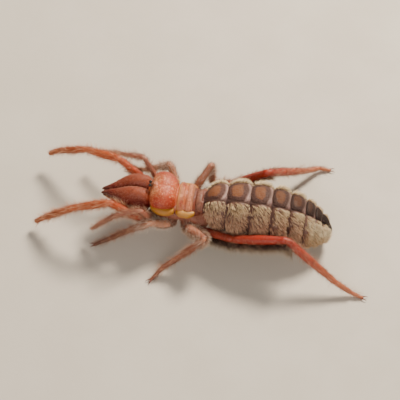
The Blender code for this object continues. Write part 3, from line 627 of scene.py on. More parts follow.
def abdomen_surface(places, turns, lifted=0.0):
    height, half_width, above, below = smooth_rows(ABDOMEN_OUTLINE, places)
    depth = GROOVE_DEPTH * np.minimum(1.0, ring_share(places)[1] / 3.5)
    angle = from_back(turns)
    on_back = ramp(BACK_PLATE_ANGLE + 2.0 - angle, 6.0)
    groove = ring_groove(places)
    relief = 0.12 - depth * groove
    relief = relief * (1 - on_back) + (0.02 - 0.32 * groove) * on_back
    relief -= 0.14 * bump(angle - BACK_PLATE_ANGLE - 1.5, 3.0)
    wrinkles = 0.02 * np.sin(turns * 1.3 + places * 2.1) * np.sin(places * 5.3 + turns * 0.21)
    relief += wrinkles + lifted
    girth = rounded_ends(places, *ABDOMEN_ENDS)
    toward_tail = ramp(places - LEAN_START, LEAN_END - LEAN_START)
    turn = np.radians(turns + FRONT_LEAN + (TAIL_LEAN - FRONT_LEAN) * toward_tail)
    tall = np.where(np.cos(turn) > 0, above, below)
    y = np.sin(turn) * (half_width + relief) * girth
    z = height + np.cos(turn) * (tall + relief) * girth
    return np.column_stack([places, y, z])


class CAMEL_SPIDER_OT_abdomen(bpy.types.Operator):
    """Ringed skin of the abdomen"""

    bl_idname = "camel_spider.abdomen"
    bl_label = "Abdomen"

    def execute(self, context):
        flank = looks().flank_colour
        skin = skin_material("flank_skin", (420.0, 4200.0), flank, [
            ("Patches", 0.6, darker(flank, 0.55)),
            ("Stipple", 0.3, (0.30, 0.19, 0.13)),
            # Painted shade in the grooves between the rings
            ("groove", 1.0, (0.09, 0.038, 0.03)),
            ("back", 1.0, (0.38, 0.22, 0.20)),
            ("tail", 1.0, (0.02, 0.01, 0.008)),
            ("waist", 1.0, (0.20, 0.062, 0.038)),
        ], (0.42, 0.62), 0.7, soft=0.05)

        def back(at, turns):
            swell = ramp(0.74 - ring_groove(at), 0.2)
            return ramp(BACK_PLATE_ANGLE - from_back(turns), 4.0) * 0.9 * swell

        bm = loft(abdomen_surface, ABDOMEN_ENDS, 190, 112, back=back,
                  groove=lambda at, turns: ramp(ring_groove(at) * 1.25),
                  tail=lambda at, turns: ramp(at - 21.5, 2.5) * ramp(75.0 - from_back(turns), 40.0),
                  waist=lambda at, turns: ramp(0.9 - at, 0.4))
        add_piece("abdomen_skin", bm, skin, ["abdomen"])
        return {"FINISHED"}


def plate_surface(number, middle, half_angle, first_share, last_share, rise, thickness):
    """A thin curved shell that lies over one ring, on the back or the belly."""
    start, end = RING_ENDS[number], RING_ENDS[number + 1]

    def surface(shares, turns):
        across = np.cos(np.radians(turns))
        face = np.sin(np.radians(turns))
        corner = (1 - np.abs(2 * shares - 1) ** 5) ** 0.35
        angle = half_angle * across * (0.78 + 0.22 * corner)
        share = first_share + (last_share - first_share) * shares
        places = start + (end - start) * share + 0.07 * (end - start) * (1 - across ** 2) * (2 * shares - 1)
        swell = rise * (0.75 + 0.5 * np.sin(math.pi * shares)) + 0.1 * shares ** 4
        wall = thickness * np.sign(face) * np.abs(face) ** 0.5 * rounded_ends(shares, *PLATE_ENDS)
        edge_drop = 0.12 * np.abs(across) ** 6
        return abdomen_surface(places, middle + angle, swell + wall - edge_drop)

    return surface


def plate_patch(shares, turns):
    """Patch in the middle of a back plate, with streaks in its edge."""
    across = np.cos(np.radians(turns))
    inside = np.abs(across + 0.02) / 0.72
    ahead = np.abs(shares - 0.43) / 0.28
    streak = 0.16 * np.sin(across * 19.0 + shares * 9.0)
    return ramp(1.25 - (inside ** 2.8 + ahead ** 2.8) - streak * inside)


def plate_rim_and_sheen(shares, turns):
    """Pale rear edge of a back plate, wider at its corners: partly its own colour, partly painted sheen."""
    corner = np.abs(np.cos(np.radians(turns))) ** 2
    return ramp(shares - 0.88 + 0.12 * corner, 0.1) * (0.7 + 0.3 * corner)


class CAMEL_SPIDER_OT_abdomen_plates(bpy.types.Operator):
    """Shell plates of the abdomen's back and belly, one of each on every ring"""

    bl_idname = "camel_spider.abdomen_plates"
    bl_label = "Abdomen plates"

    def execute(self, context):
        back = back_plate_material()
        belly = skin_material("belly_plate_shell", (520.0, 3400.0), (0.30, 0.17, 0.12),
                              [("Patches", 1.0, (0.18, 0.10, 0.075))], (0.36, 0.52), 0.5)
        for number, dark in enumerate(PLATE_DARKNESS, 1):
            last_share = 1.0 if number == len(PLATE_DARKNESS) else 0.9
            surface = plate_surface(number, 0.0, BACK_PLATE_ANGLE, 0.03, last_share, 0.17, 0.07)
            bm = loft(surface, PLATE_ENDS, 20, 72, patch=plate_patch, rim=plate_rim_and_sheen,
                      tail=lambda shares, turns: np.full(len(shares), dark))
            add_piece(f"back_plate_{number}", bm, back)
            surface = plate_surface(number, 180.0, BELLY_PLATE_ANGLE, 0.05, 0.92, 0.1, 0.06)
            add_piece(f"belly_plate_{number}", loft(surface, PLATE_ENDS, 20, 56), belly)
        return {"FINISHED"}


# Front body

def dome_surface(outline, sag, rounding, swell=None):
    """A plate that is domed above and nearly flat below."""
    def surface(places, turns):
        half_width, edge, top = smooth_rows(outline, places)
        turn = np.radians(turns)
        rise = np.cos(turn)
        height = np.where(rise > 0, (top - edge) * np.abs(rise) ** 0.9, sag * rise)
        if swell is not None:
            height = height + swell(places, half_width * np.sin(turn), rise)
        girth = rounded_ends(places, *ends_of(outline, rounding))
        return np.column_stack([places, half_width * np.sin(turn) * (0.82 + 0.18 * girth), edge + height * girth])

    return surface


def shield_swell(places, y, rise):
    """Eye tubercle, middle furrow and two low cheeks on the shield."""
    tubercle = TUBERCLE_RISE * bump(np.hypot(places - TUBERCLE_PLACE, y), TUBERCLE_RADIUS)
    furrow = -0.12 * bump(y, 0.35) * ramp(places + 8.6, 1.5)
    cheeks = 0.14 * bump(np.hypot(places + 7.0, np.abs(y) - 1.9), 1.3)
    return np.where(rise > 0.1, tubercle + furrow + cheeks, 0.0)


def oval_surface(outline, facing, squareness=0.0):
    """An oval form on one side of the body, flattened where it would cross the midline."""
    def surface(places, turns):
        offset, height, half_width, half_height = smooth_rows(outline, places)
        girth = rounded_ends(places, *ends_of(outline, OVAL_ROUNDING))
        turn = np.radians(turns)
        rise = np.sin(turn)
        rise = np.where(rise > 0, np.abs(rise) ** (1.0 - squareness), rise)
        y = np.maximum(MIDLINE, offset + half_width * np.cos(turn) * girth)
        return np.column_stack([places, facing * y, height + half_height * rise * girth])

    return surface


def oval_loft(outline, facing, rows=30, columns=36, squareness=0.0, **values):
    return loft(oval_surface(outline, facing, squareness), ends_of(outline, OVAL_ROUNDING), rows, columns, **values)


class CAMEL_SPIDER_OT_shield(bpy.types.Operator):
    """Front shield, its side lobes and the eyes"""

    bl_idname = "camel_spider.shield"
    bl_label = "Shield, lobes and eyes"

    def execute(self, context):
        skin = skin_material("shield_skin", (380.0, 2500.0), looks().shield_colour, [
            ("cheek", 1.0, (0.50, 0.21, 0.075)),
            ("side", 1.0, (0.28, 0.013, 0.0004)),
            ("Patches", 0.6, (0.42, 0.075, 0.022)),
            (("Stipple", 0.0, 0.75, 1.0, 0.0), ("side", 0.0, 1.0, 0.7, 0.09), (0.94, 0.40, 0.21)),
            ("dark", 1.0, (0.03, 0.006, 0.006)),
        ], (0.4, 0.6), 1.0, soft=0.05)
        surface = dome_surface(SHIELD_OUTLINE, SHIELD_SAG, SHIELD_ROUNDING, shield_swell)

        def dark(at, turns):
            y = surface(at, turns)[:, 1]
            ring = bump(np.hypot((at + 9.6) * 0.8, y * 0.75), 0.5)
            return np.clip(ring * 1.5, 0.0, 0.95) * (from_back(turns) < 60)

        bm = loft(surface, ends_of(SHIELD_OUTLINE, SHIELD_ROUNDING), 60, 96, dark=dark,
                  side=lambda at, turns: ramp(from_back(turns) - 26.0, 17.0) * ramp(at + 9.6, 1.2, 0.4),
                  cheek=lambda at, turns: bump(at + 9.0, 1.1) * bump(from_back(turns) - 24.0, 24.0) * 0.85)
        add_piece("shield", bm, skin, ["propeltidium"])
        lobes = lobe_material("lobe_skin", looks().yellow_colour, (0.40, 0.13, 0.02))
        gloss = skin_material("eye_gloss", (900.0, 9000.0), (0.006, 0.005, 0.006),
                              [("Patches", 1.0, (0.016, 0.010, 0.010))], (0.04, 0.1), 0.03, coat=0.5)
        for side_name, facing in SIDES.items():
            add_piece(f"side_lobe_{side_name}", oval_loft(LOBE_OUTLINE, facing), lobes,
                      [f"lateral_lobe_{side_name}"])
        for side_name, facing in SIDES.items():
            bm = bmesh.new()
            bmesh.ops.create_icosphere(bm, subdivisions=4, radius=EYE_RADIUS)
            bmesh.ops.translate(bm, verts=bm.verts, vec=(EYE_PLACE[0], facing * EYE_PLACE[1], EYE_PLACE[2]))
            add_piece(f"eye_dome_{side_name}", bm, gloss, [f"eye_{side_name}"])
        return {"FINISHED"}


def waist_surface(places, turns):
    """A soft pillow over the waist, between the rear plate and the first ring of the abdomen."""
    girth = rounded_ends(places, *WAIST_ENDS)
    swell = np.sin(math.pi * ramp(places + 1.3, 2.2))
    turn = np.radians(turns)
    up = np.cos(turn)
    y = np.sin(turn) * (2.25 + 0.3 * swell) * (0.75 + 0.25 * girth)
    z = 8.2 + np.where(up > 0, 1.2 + 0.35 * swell, 0.4) * up * girth
    return np.column_stack([places, y, z])


def body_wall_surface(places, turns):
    height, half_width, half_height = smooth_rows(BODY_WALL, places)
    girth = rounded_ends(places, *BODY_WALL_ENDS)
    turn = np.radians(turns)
    return np.column_stack([places, np.sin(turn) * half_width * girth, height + np.cos(turn) * half_height * girth])


class CAMEL_SPIDER_OT_thorax(bpy.types.Operator):
    """Plates behind the shield, the soft body wall below them and its yellow folds"""

    bl_idname = "camel_spider.thorax"
    bl_label = "Thorax"

    def execute(self, context):
        skin = skin_material("thorax_skin", (420.0, 2600.0), (0.80, 0.255, 0.12), [
            ("mauve", 1.0, (0.045, 0.008, 0.006)),
            ("buff", 1.0, (0.86, 0.50, 0.12)),
            ("Patches", 0.4, (0.40, 0.11, 0.06)),
            ("Stipple", ("mauve", 0.0, 1.0, 0.4, 0.12), (0.85, 0.40, 0.22)),
            ("side", 1.0, (0.50, 0.14, 0.05)),
            ("red", 1.0, (0.34, 0.018, 0.005)),
        ], (0.5, 0.66), 0.8, soft=0.08)
        marks = {
            "side": lambda at, turns: ramp(from_back(turns) - 62.0, 10.0, high=0.9) * ramp(-1.4 - at, 0.6),
            "red": lambda at, turns: bump(at + 3.5, 0.55) * bump(from_back(turns) - 40.0, 18.0),
            "mauve": lambda at, turns: ramp(at + 1.9, 0.9),
            "buff": lambda at, turns: ramp(-3.5 - at, 0.8, high=0.9),
        }
        for name, (node, outline) in THORAX_PLATES.items():
            surface = dome_surface(outline, PLATE_SAG, PLATE_ROUNDING)
            bm = loft(surface, ends_of(outline, PLATE_ROUNDING), 26, 80, **marks)
            add_piece(f"{name}_plate", bm, skin, [node])
        add_piece("waist_plate", loft(waist_surface, WAIST_ENDS, 30, 96, **marks), skin)
        # Body wall: its dark ground is painted shade below the plates and lobes, and its upper front half is paler
        wall = skin_material("body_wall_skin", (500.0, 3000.0), (0.20, 0.045, 0.022), [
            ("Patches", 1.0, (0.12, 0.028, 0.015)),
            ("upper", 1.0, (0.50, 0.125, 0.040)),
        ], (0.35, 0.5), 0.5, soft=0.2)
        bm = loft(body_wall_surface, BODY_WALL_ENDS, 90, 64,
                  upper=lambda at, turns: ramp(np.cos(np.radians(turns)), 0.4) * ramp(-2.0 - at))
        add_piece("body_wall", bm, wall)
        folds = lobe_material("fold_skin", looks().yellow_colour, (0.50, 0.20, 0.06))
        for side_name, facing in SIDES.items():
            rows = [(place, offset + FOLD_SPREAD[side_name], *rest) for place, offset, *rest in FOLD_OUTLINE]
            add_piece(f"side_fold_{side_name}", oval_loft(rows, facing), folds)
        return {"FINISHED"}


# Jaws

def add_teeth(bm, surface, turn, first, gap, sizes, lean, facing_up):
    """Pointed teeth along a finger, from the front of its round part to its tip."""
    for number, size in enumerate(sizes):
        root = surface(np.array([first - number * gap]), np.array([turn]))[0]
        base = Vector(root - [0, 0, facing_up * TOOTH_ROOT])
        tip = Vector(root + [lean, 0, facing_up * size])
        place = (tip - base).to_track_quat("Z", "Y").to_matrix().to_4x4()
        place.translation = (base + tip) / 2
        bmesh.ops.create_cone(bm, cap_ends=True, segments=12, radius1=TOOTH_RADIUS, radius2=TOOTH_RADIUS * 0.12,
                              depth=(tip - base).length, matrix=place)


def jaw_lit_top(at, turns):
    """Upper side of a jaw, strongest towards the midline, where its paler colour is painted light."""
    inner = 0.35 + 0.65 * ramp(turns - 200.0, -80.0)
    return ramp(height_of(turns) - 0.45, 0.5) * inner * ramp(at + 17.5, 3.0)


class CAMEL_SPIDER_OT_jaws(bpy.types.Operator):
    """Two swollen jaws, each with a fixed finger above and a moving finger below, both toothed"""

    bl_idname = "camel_spider.jaws"
    bl_label = "Jaws"

    def execute(self, context):
        colour = looks().jaw_colour
        horn = skin_material("jaw_horn", (420.0, 2600.0), colour, [
            ("Patches", 0.5, darker(colour, 0.5)),
            # Painted light: paler upper side of the jaw
            ("top", 0.8, (0.42, 0.085, 0.024)),
            # Painted shade: darker lower side of the jaw
            ("low", 1.0, darker(colour, 0.45)),
            ("Stipple", 0.25, darker(colour, 0.35)),
            (("finger", 0.1, 0.9), 1.0, looks().jaw_tip_colour),
        ], (0.48, 0.62), 0.7, soft=0.08, coat=0.03)
        dark_horn = finger_material()

        def finger(at, turns):
            return ramp(-16.5 - at, 2.6)

        for side_name, facing in SIDES.items():
            bm = oval_loft(JAW_OUTLINE, facing, 110, 56, JAW_SQUARENESS, finger=finger, top=jaw_lit_top,
                           # low: the jaw's lower side, which carries painted shade
                           low=lambda at, turns: ramp(0.2 - height_of(turns)))
            add_teeth(bm, oval_surface(JAW_OUTLINE, facing, JAW_SQUARENESS), 262.0, -15.5, 0.5,
                      (0.26, 0.42, 0.26, 0.26, 0.42, 0.26, 0.26), 0.05, -1)
            add_piece(f"jaw_{side_name}", bm, horn, [f"chelicera_{side_name}"])
            bm = oval_loft(FINGER_OUTLINE, facing, 60, 40, finger=finger)
            add_teeth(bm, oval_surface(FINGER_OUTLINE, facing), 82.0, -15.8, 0.7, (0.28, 0.4, 0.28, 0.28), 0.08, 1)
            add_piece(f"moving_finger_{side_name}", bm, dark_horn, [f"movable_finger_{side_name}"])
        return {"FINISHED"}


# Limbs

def limb_spans(limb, side_name):
    """Each straight span of a limb: start, end, its solid's radii, and the shares of the solid at its ends."""
    facing = SIDES[side_name]
    point = np.array([1.0, facing, 1.0]) * HIPS[limb]
    turns = iter(POSE[(limb, side_name)])
    spans = []
    for _, lengths, radii in LIMBS[limb]:
        total, done = sum(lengths), 0.0
        for length in lengths:
            yaw, rise = next(turns)
            turn = math.radians(yaw)
            lift = math.asin((FOOT_HEIGHT - point[2]) / length) if rise is None else math.radians(rise)
            level = math.cos(lift)
            course = np.array([math.cos(turn) * level, facing * math.sin(turn) * level, math.sin(lift)])
            end = point + course * length
            spans.append((point, end, radii, done / total, (done + length) / total))
            done += length
            point = end
    return spans


def tube(centres, radii):
    """Surface of a round tube along close points; a place is a length along it, with its total length."""
    steps = np.linalg.norm(np.diff(centres, axis=0), axis=1)
    reach = np.concatenate([[0.0], np.cumsum(steps)])
    tangent = unit(np.gradient(centres, reach, axis=0))
    across = unit(np.cross(tangent, [0.0, 0.0, 1.0]))
    up = np.cross(across, tangent)

    def along(table, places):
        return np.column_stack([np.interp(places, reach, column) for column in np.atleast_2d(table.T)])

    def surface(places, turns):
        turn = np.radians(turns)[:, None]
        radius = along(radii[:, None], places)
        girth = rounded_ends(places, 0.0, reach[-1], radii[-1])[:, None]
        offset = along(across, places) * np.cos(turn) + along(up, places) * np.sin(turn)
        points = along(centres, places) + offset * radius * girth
        points[:, 2] = np.maximum(points[:, 2], 0.01)
        return points

    return surface, reach[-1]


def soften(points, sigma):
    """Round off the corners of a line of close points."""
    half = int(3 * sigma / LIMB_STEP)
    kernel = bump(np.arange(-half, half + 1) * LIMB_STEP, sigma * 1.4142)
    kernel /= kernel.sum()
    padded = np.concatenate([np.repeat(points[:1], half, 0), points, np.repeat(points[-1:], half, 0)])
    smoothed = np.column_stack([np.convolve(column, kernel, "valid") for column in padded.T])
    smoothed[0], smoothed[-1] = points[0], points[-1]
    return smoothed


def limb_form(limb, side_name):
    """Surface, length and joint places of a whole limb."""
    spans = limb_spans(limb, side_name)
    hip, foot = spans[0][0], spans[-1][1]
    root = np.array([COXA_ROOTS[limb], SIDES[side_name] * 0.9, COXA_ROOT_HEIGHT])
    lead = np.arange(int(LIMB_LEAD / LIMB_STEP))
    centres = [hip - unit(hip - root) * (LIMB_LEAD - lead[:, None] * LIMB_STEP)]
    radii = [np.full(len(lead), spans[0][2][0] * 0.9)]
    joints = [LIMB_LEAD]
    for start, end, (first, thick, last), low, high in spans:
        size = np.linalg.norm(end - start)
        count = int(size / LIMB_STEP)
        k = np.arange(count)
        t = low + (high - low) * k / count
        belly = np.sin(math.pi * np.minimum(t * 1.15, 1.0)) ** 0.8
        radii.append(first + (last - first) * t + (thick - (first + last) / 2) * belly)
        centres.append(start + (end - start) * k[:, None] / count)
        joints.append(joints[-1] + size)
    length = joints.pop()
    end_radius = radii[-1][-1]
    tip = end_radius * 0.8
    past = np.arange(int(tip / LIMB_STEP) + 1)
    centres.append(foot + unit(foot - spans[-1][0]) * past[:, None] * LIMB_STEP)
    radii.append(np.full(len(past), end_radius))
    centres = soften(np.concatenate(centres), 0.42)
    slim = THIN_LEG_GIRTH if (limb, side_name) == ("leg3", "right") else SKIN_GIRTH
    radii = soften(np.concatenate(radii)[:, None], 0.3)[:, 0] * slim
    reach = np.concatenate([[0.0], np.cumsum(np.linalg.norm(np.diff(centres, axis=0), axis=1))])
    joints = np.array(joints) * reach[-1] / (length + tip)
    for joint in joints:
        away = reach - joint
        radii *= 1.0 - 0.17 * bump(away, 0.24) + 0.07 * bump(away + 0.75, 0.5) + 0.04 * bump(away - 0.7, 0.4)
    surface, total = tube(centres, radii)
    return surface, total, joints


def slot_of(limb):
    return "palp" if limb == "palp" else "leg"


class CAMEL_SPIDER_OT_limbs(bpy.types.Operator):
    """Skin of the two palps and eight legs, each in one piece from hip to foot, and the claws"""

    bl_idname = "camel_spider.limbs"
    bl_label = "Limbs and claws"

    def execute(self, context):
        claw_horn = finger_material()
        for limb, parts in LIMBS.items():
            skin = limb_material(limb)
            for side_name in SIDES:
                surface, total, joints = limb_form(limb, side_name)
                bm = loft(surface, (0.0, total, 0.3), int(total / 0.16), 26,
                          along=lambda at, turns: at / total,
                          joint=lambda at, turns: np.max([bump(at - j, 0.22) for j in joints], axis=0),
                          # under: share of the underside, which carries painted shade
                          under=lambda at, turns: ramp(-height_of(turns)))
                nodes = [f"{limb}_{side_name}_{part}" for part, _, _ in parts]
                add_piece(f"{limb}_{side_name}_skin", bm, skin, nodes)
                if limb in CLAWED_LEGS:
                    add_claws(limb, side_name, claw_horn)
        return {"FINISHED"}


def add_claws(limb, side_name, horn):
    """Two long curved claws at the end of a foot."""
    start, foot, radii, _, _ = limb_spans(limb, side_name)[-1]
    level = unit((foot - start) * [1.0, 1.0, 0.0])
    across = np.cross(level, [0.0, 0.0, 1.0])
    share = np.linspace(-0.3, 1.0, 24)
    rise = 0.2 * np.sin(math.pi * np.clip(share * 0.8 + 0.1, 0, 1)) - 0.1 * share
    bm = bmesh.new()
    for way in (-1.0, 1.0):
        turn = math.radians(way * CLAW_SPREAD)
        course = level * math.cos(turn) + across * math.sin(turn)
        root = foot + across * way * (radii[2] * 0.45)
        centres = root + course * share[:, None] * CLAW_LENGTH + np.outer(rise, [0, 0, 1])
        inward = -across * way * 0.18 * np.clip(share, 0, 1)[:, None] ** 2
        surface, total = tube(centres + inward, np.linspace(0.15, 0.03, 24))
        append(bm, loft(surface, (0.0, total, 0.03), 22, 12))
    add_piece(f"{limb}_{side_name}_claws", bm, horn)


class CAMEL_SPIDER_OT_leg_bases(bpy.types.Operator):
    """Leg bases under the front body and the fan organs that hang from the last pair"""

    bl_idname = "camel_spider.leg_bases"
    bl_label = "Leg bases"

    def execute(self, context):
        bm = bmesh.new()
        for facing in SIDES.values():
            for limb in HIPS:
                surface, total = leg_base_form(limb, facing)
                append(bm, loft(surface, (0.0, total, 0.3), 40, 32))
        append(bm, loft(chest_core_surface, CHEST_CORE_ENDS, 40, 40))
        skin = skin_material("leg_base_skin", (450.0, 3600.0), (0.30, 0.085, 0.045), [
            ("Patches", 1.0, (0.18, 0.045, 0.025)),
            ("Stipple", 0.3, (0.42, 0.2, 0.12)),
        ], (0.4, 0.6), 0.6, soft=0.1)
        add_piece("leg_bases", remeshed(bm, COXA_VOXEL), skin, ["coxae_left", "coxae_right"])
        fans = lobe_material("fan_organ_skin", (0.62, 0.38, 0.26), (0.45, 0.22, 0.14))
        for side_name, facing in SIDES.items():
            bm = bmesh.new()
            for number in range(FANS):
                append(bm, fan_organ(facing, number))
            add_piece(f"fan_organs_{side_name}", bm, fans)
        return {"FINISHED"}


def leg_base_form(limb, facing):
    """Surface and length of one leg base, from the midline to the hip."""
    start = np.array([COXA_ROOTS[limb], facing * 0.75, COXA_ROOT_HEIGHT])
    end = np.array([1.0, facing, 1.0]) * HIPS[limb]
    share = np.linspace(0.0, 1.0, 40)
    thick = COXA_RADIUS[limb] * (0.62 + 0.42 * np.sin(math.pi * share * 0.85) ** 0.8)
    thick = thick * (1 - share ** 4) + share ** 4 * LIMBS[limb][0][2][0] * 1.02
    return tube(start + (end + unit(end - start) * 0.35 - start) * share[:, None], thick)


def chest_core_surface(places, turns):
    height, half_width, half_height = smooth_rows(CHEST_CORE, places)
    girth = rounded_ends(places, *CHEST_CORE_ENDS)
    turn = np.radians(turns)
    groove = 1.0 - 0.12 * bump(np.sin(turn) + 1.0, 0.02)
    y = half_width * np.cos(turn) * girth
    return np.column_stack([places, y, height + half_height * np.sin(turn) * girth * groove])


def remeshed(bm, voxel):
    """One smooth skin over shapes that run into each other."""
    mesh = mesh_of(bm, "loose")
    holder = add_object("loose", mesh)
    modifier = holder.modifiers.new("skin", "REMESH")
    modifier.mode = "VOXEL"
    modifier.voxel_size = voxel
    evaluated = holder.evaluated_get(bpy.context.evaluated_depsgraph_get())
    result = bmesh.new()
    result.from_mesh(evaluated.to_mesh())
    evaluated.to_mesh_clear()
    bpy.data.objects.remove(holder)
    bpy.data.meshes.remove(mesh)
    for _ in range(4):
        bmesh.ops.smooth_vert(result, verts=result.verts, factor=0.5, use_axis_x=True, use_axis_y=True,
                              use_axis_z=True)
    return result


def fan_organ(facing, number):
    """A stalk that widens to a flat fan, hanging from the base of the last leg."""
    share_out = 0.15 + number * 0.2
    hip, root = HIPS["leg4"], COXA_ROOTS["leg4"]
    x = root + (hip[0] - root) * share_out + 0.4
    y = 0.9 + (hip[1] - 0.9) * share_out
    top = COXA_ROOT_HEIGHT + (hip[2] - COXA_ROOT_HEIGHT) * share_out - 0.8

    def surface(places, turns):
        turn = np.radians(turns)
        spread = 0.09 + 0.42 * ramp(places - 0.45, 0.7) ** 1.3
        girth = rounded_ends(places, *FAN_ENDS)
        return np.column_stack([
            x + 0.07 * np.cos(turn) * girth + 0.15 * places,
            facing * (y + spread * np.sin(turn) * girth),
            top - places])

    return loft(surface, FAN_ENDS, 16, 24)


# Coat

def surface_frames(surface, places, turns):
    """Point, outward normal, direction of rising place, direction of rising turn and area at each root."""
    point = surface(places, turns)
    along = surface(places + 0.02, turns) - point
    around = surface(places, turns + 0.5) - point
    crossed = np.cross(along, around)
    middle = sum(surface(places, turns + quarter) for quarter in (0.0, 90.0, 180.0, 270.0)) / 4
    facing = np.sign(np.sum(crossed * (point - middle), axis=1))[:, None]
    normal = unit(crossed) * facing
    along = unit(along)
    around = unit(around - along * np.sum(along * around, axis=1)[:, None])
    return point, normal, along, around, np.linalg.norm(crossed, axis=1)


def grow_coat(name, surface, window, tufts, hair, slot, seed, length, thickness=1.0, hairs=2, lie=0.0, lift=25.0,
              droop=0.1, spread=20.0, tuft_width=0.12, gather=0.5, density=1.0, pale=0.0, stations=SHORT_HAIR):
    """Tufts of tapered hairs over part of a surface. window holds the first and last place and turn.
    lie turns a tuft from the direction of rising place towards that of rising turn, in degrees.
    length, lie, density and pale are numbers or functions of place and turn."""
    draw = np.random.default_rng(seed)
    first, last, low_turn, high_turn = window
    places = draw.uniform(first, last, tufts * CANDIDATES)
    turns = draw.uniform(low_turn, high_turn, tufts * CANDIDATES)

    def each(values):
        return np.repeat(values, hairs, axis=0)

    def at_roots(value):
        return value(places, turns) if callable(value) else np.full(len(places), value)

    area = surface_frames(surface, places, turns)[4] * at_roots(density)
    chosen = draw.choice(len(places), tufts, replace=False, p=area / area.sum())
    places, turns = places[chosen], turns[chosen]
    point, normal, along, around = map(each, surface_frames(surface, places, turns)[:4])
    count = tufts * hairs
    angle = each(at_roots(lie) + draw.normal(0, spread, tufts)) + draw.normal(0, spread * 0.5, count)
    angle = np.radians(angle)[:, None]
    course = along * np.cos(angle) + around * np.sin(angle)
    sideways = np.cross(course, normal)
    reach = (each(at_roots(length) * draw.uniform(0.8, 1.15, tufts)) * draw.uniform(0.75, 1.1, count))[:, None]
    rise = np.radians(lift * draw.uniform(0.6, 1.4, count))[:, None]
    offset = along * draw.normal(0, tuft_width, count)[:, None] + around * draw.normal(0, tuft_width, count)[:, None]
    thick = looks().hair_radius / MM * thickness * draw.uniform(0.7, 1.2, count)[:, None]
    corners = []
    for share in (*stations, 1.0):
        centre = point + offset * (1 - gather * share) - normal * 0.05
        centre = centre + course * reach * share * np.cos(rise)
        centre = centre + normal * reach * (np.sin(rise) * share - droop * share ** 2)
        if share == 1.0:
            corners.append(centre)
            break
        size = thick * (1 - share) ** 0.6
        for corner in (90.0, 210.0, 330.0):
            c, s = math.cos(math.radians(corner)), math.sin(math.radians(corner))
            corners.append(centre + (sideways * c + normal * s) * size)
    vertices = np.stack(corners, axis=1)
    vertices[:, :, 2] = np.maximum(vertices[:, :, 2], 0.02)
    per_hair = len(corners)
    faces = [(0, 2, 1)]
    for ring in range(len(stations) - 1):
        for k in range(3):
            a, b = ring * 3 + k, ring * 3 + (k + 1) % 3
            faces += [(a, b, b + 3), (a, b + 3, a + 3)]
    base = (len(stations) - 1) * 3
    faces += [(base + k, base + (k + 1) % 3, per_hair - 1) for k in range(3)]
    indices = (np.array(faces)[None] + (np.arange(count) * per_hair)[:, None, None]).reshape(-1, 3)
    mesh = triangle_mesh(name, vertices.reshape(-1, 3), indices)
    share_of = np.array([share for share in stations for _ in range(3)] + [1.0])
    tone = np.clip(each(draw.uniform(0, 1, tufts)) * 0.6 + draw.uniform(0, 0.4, count), 0, 1)
    values = {"along": np.tile(share_of, count), "tone": np.repeat(tone, per_hair),
              "pale": np.repeat(each(at_roots(pale)), per_hair)}
    for label, value in values.items():
        layer = mesh.attributes.new(label, "FLOAT", "POINT")
        layer.data.foreach_set("value", value.astype(np.float32))
    unwrap = np.column_stack([(turns % 360.0) / 360.0, (places - first) / (last - first)]) * 0.98 + 0.01
    local = np.column_stack([[0.0, 0.0015, 0.003] * len(stations) + [0.0015], share_of * 0.003])
    patch = (each(unwrap)[:, None, :] + local[None]).reshape(-1, 2)
    layer = mesh.uv_layers.new(name="OFBake")
    layer.data.foreach_set("uv", patch[indices.ravel()].astype(np.float32).ravel())
    finish_piece(name, mesh, bpy.data.materials.get(hair) or hair_material(hair))


def triangle_mesh(name, vertices, triangles):
    """A mesh in metres from arrays of points and triangles."""
    mesh = bpy.data.meshes.new(name)
    mesh.vertices.add(len(vertices))
    mesh.vertices.foreach_set("co", ((vertices + SHIFT) * MM).astype(np.float32).ravel())
    mesh.loops.add(triangles.size)
    mesh.loops.foreach_set("vertex_index", triangles.astype(np.int32).ravel())
    mesh.polygons.add(len(triangles))
    mesh.polygons.foreach_set("loop_start", np.arange(0, triangles.size, 3, dtype=np.int32))
    mesh.update(calc_edges=True)
    return mesh


def bristle_lie(places, turns):
    """Bristles hang down from the back, less towards the tail."""
    drop = 66.0 - 36.0 * ramp(places - 3.0, 18.0)
    return np.where(turns % 360.0 < 180.0, drop, -drop)


def bristle_density(places, turns):
    groove = np.clip(1.2 - 1.4 * ring_groove(places), 0.02, 1.0)
    return groove * ramp(146.0 - from_back(turns), 72.0, 0.25)


# Bristles are paler near the back and towards the tail: partly their own cream hair, partly painted light on the
# upper flank and the lit tail end
def bristle_pale_and_lit(places, turns):
    tail = ramp(places - 18.0, 5.0)
    return np.clip(1.0 - (from_back(turns) - BACK_PLATE_ANGLE) / 38.0 + tail, 0.0, 0.9)


def bristle_length(places, turns):
    share, ring = ring_share(places)
    girth = smooth_rows(ABDOMEN_OUTLINE, places)[1] / 5.5
    behind = 1.0 - 0.6 * ramp(share - 0.6, 0.35)
    return looks().bristle_length / MM * (0.5 + 0.5 * girth) * np.clip(0.6 + ring * 0.12, 0.6, 1.0) * behind


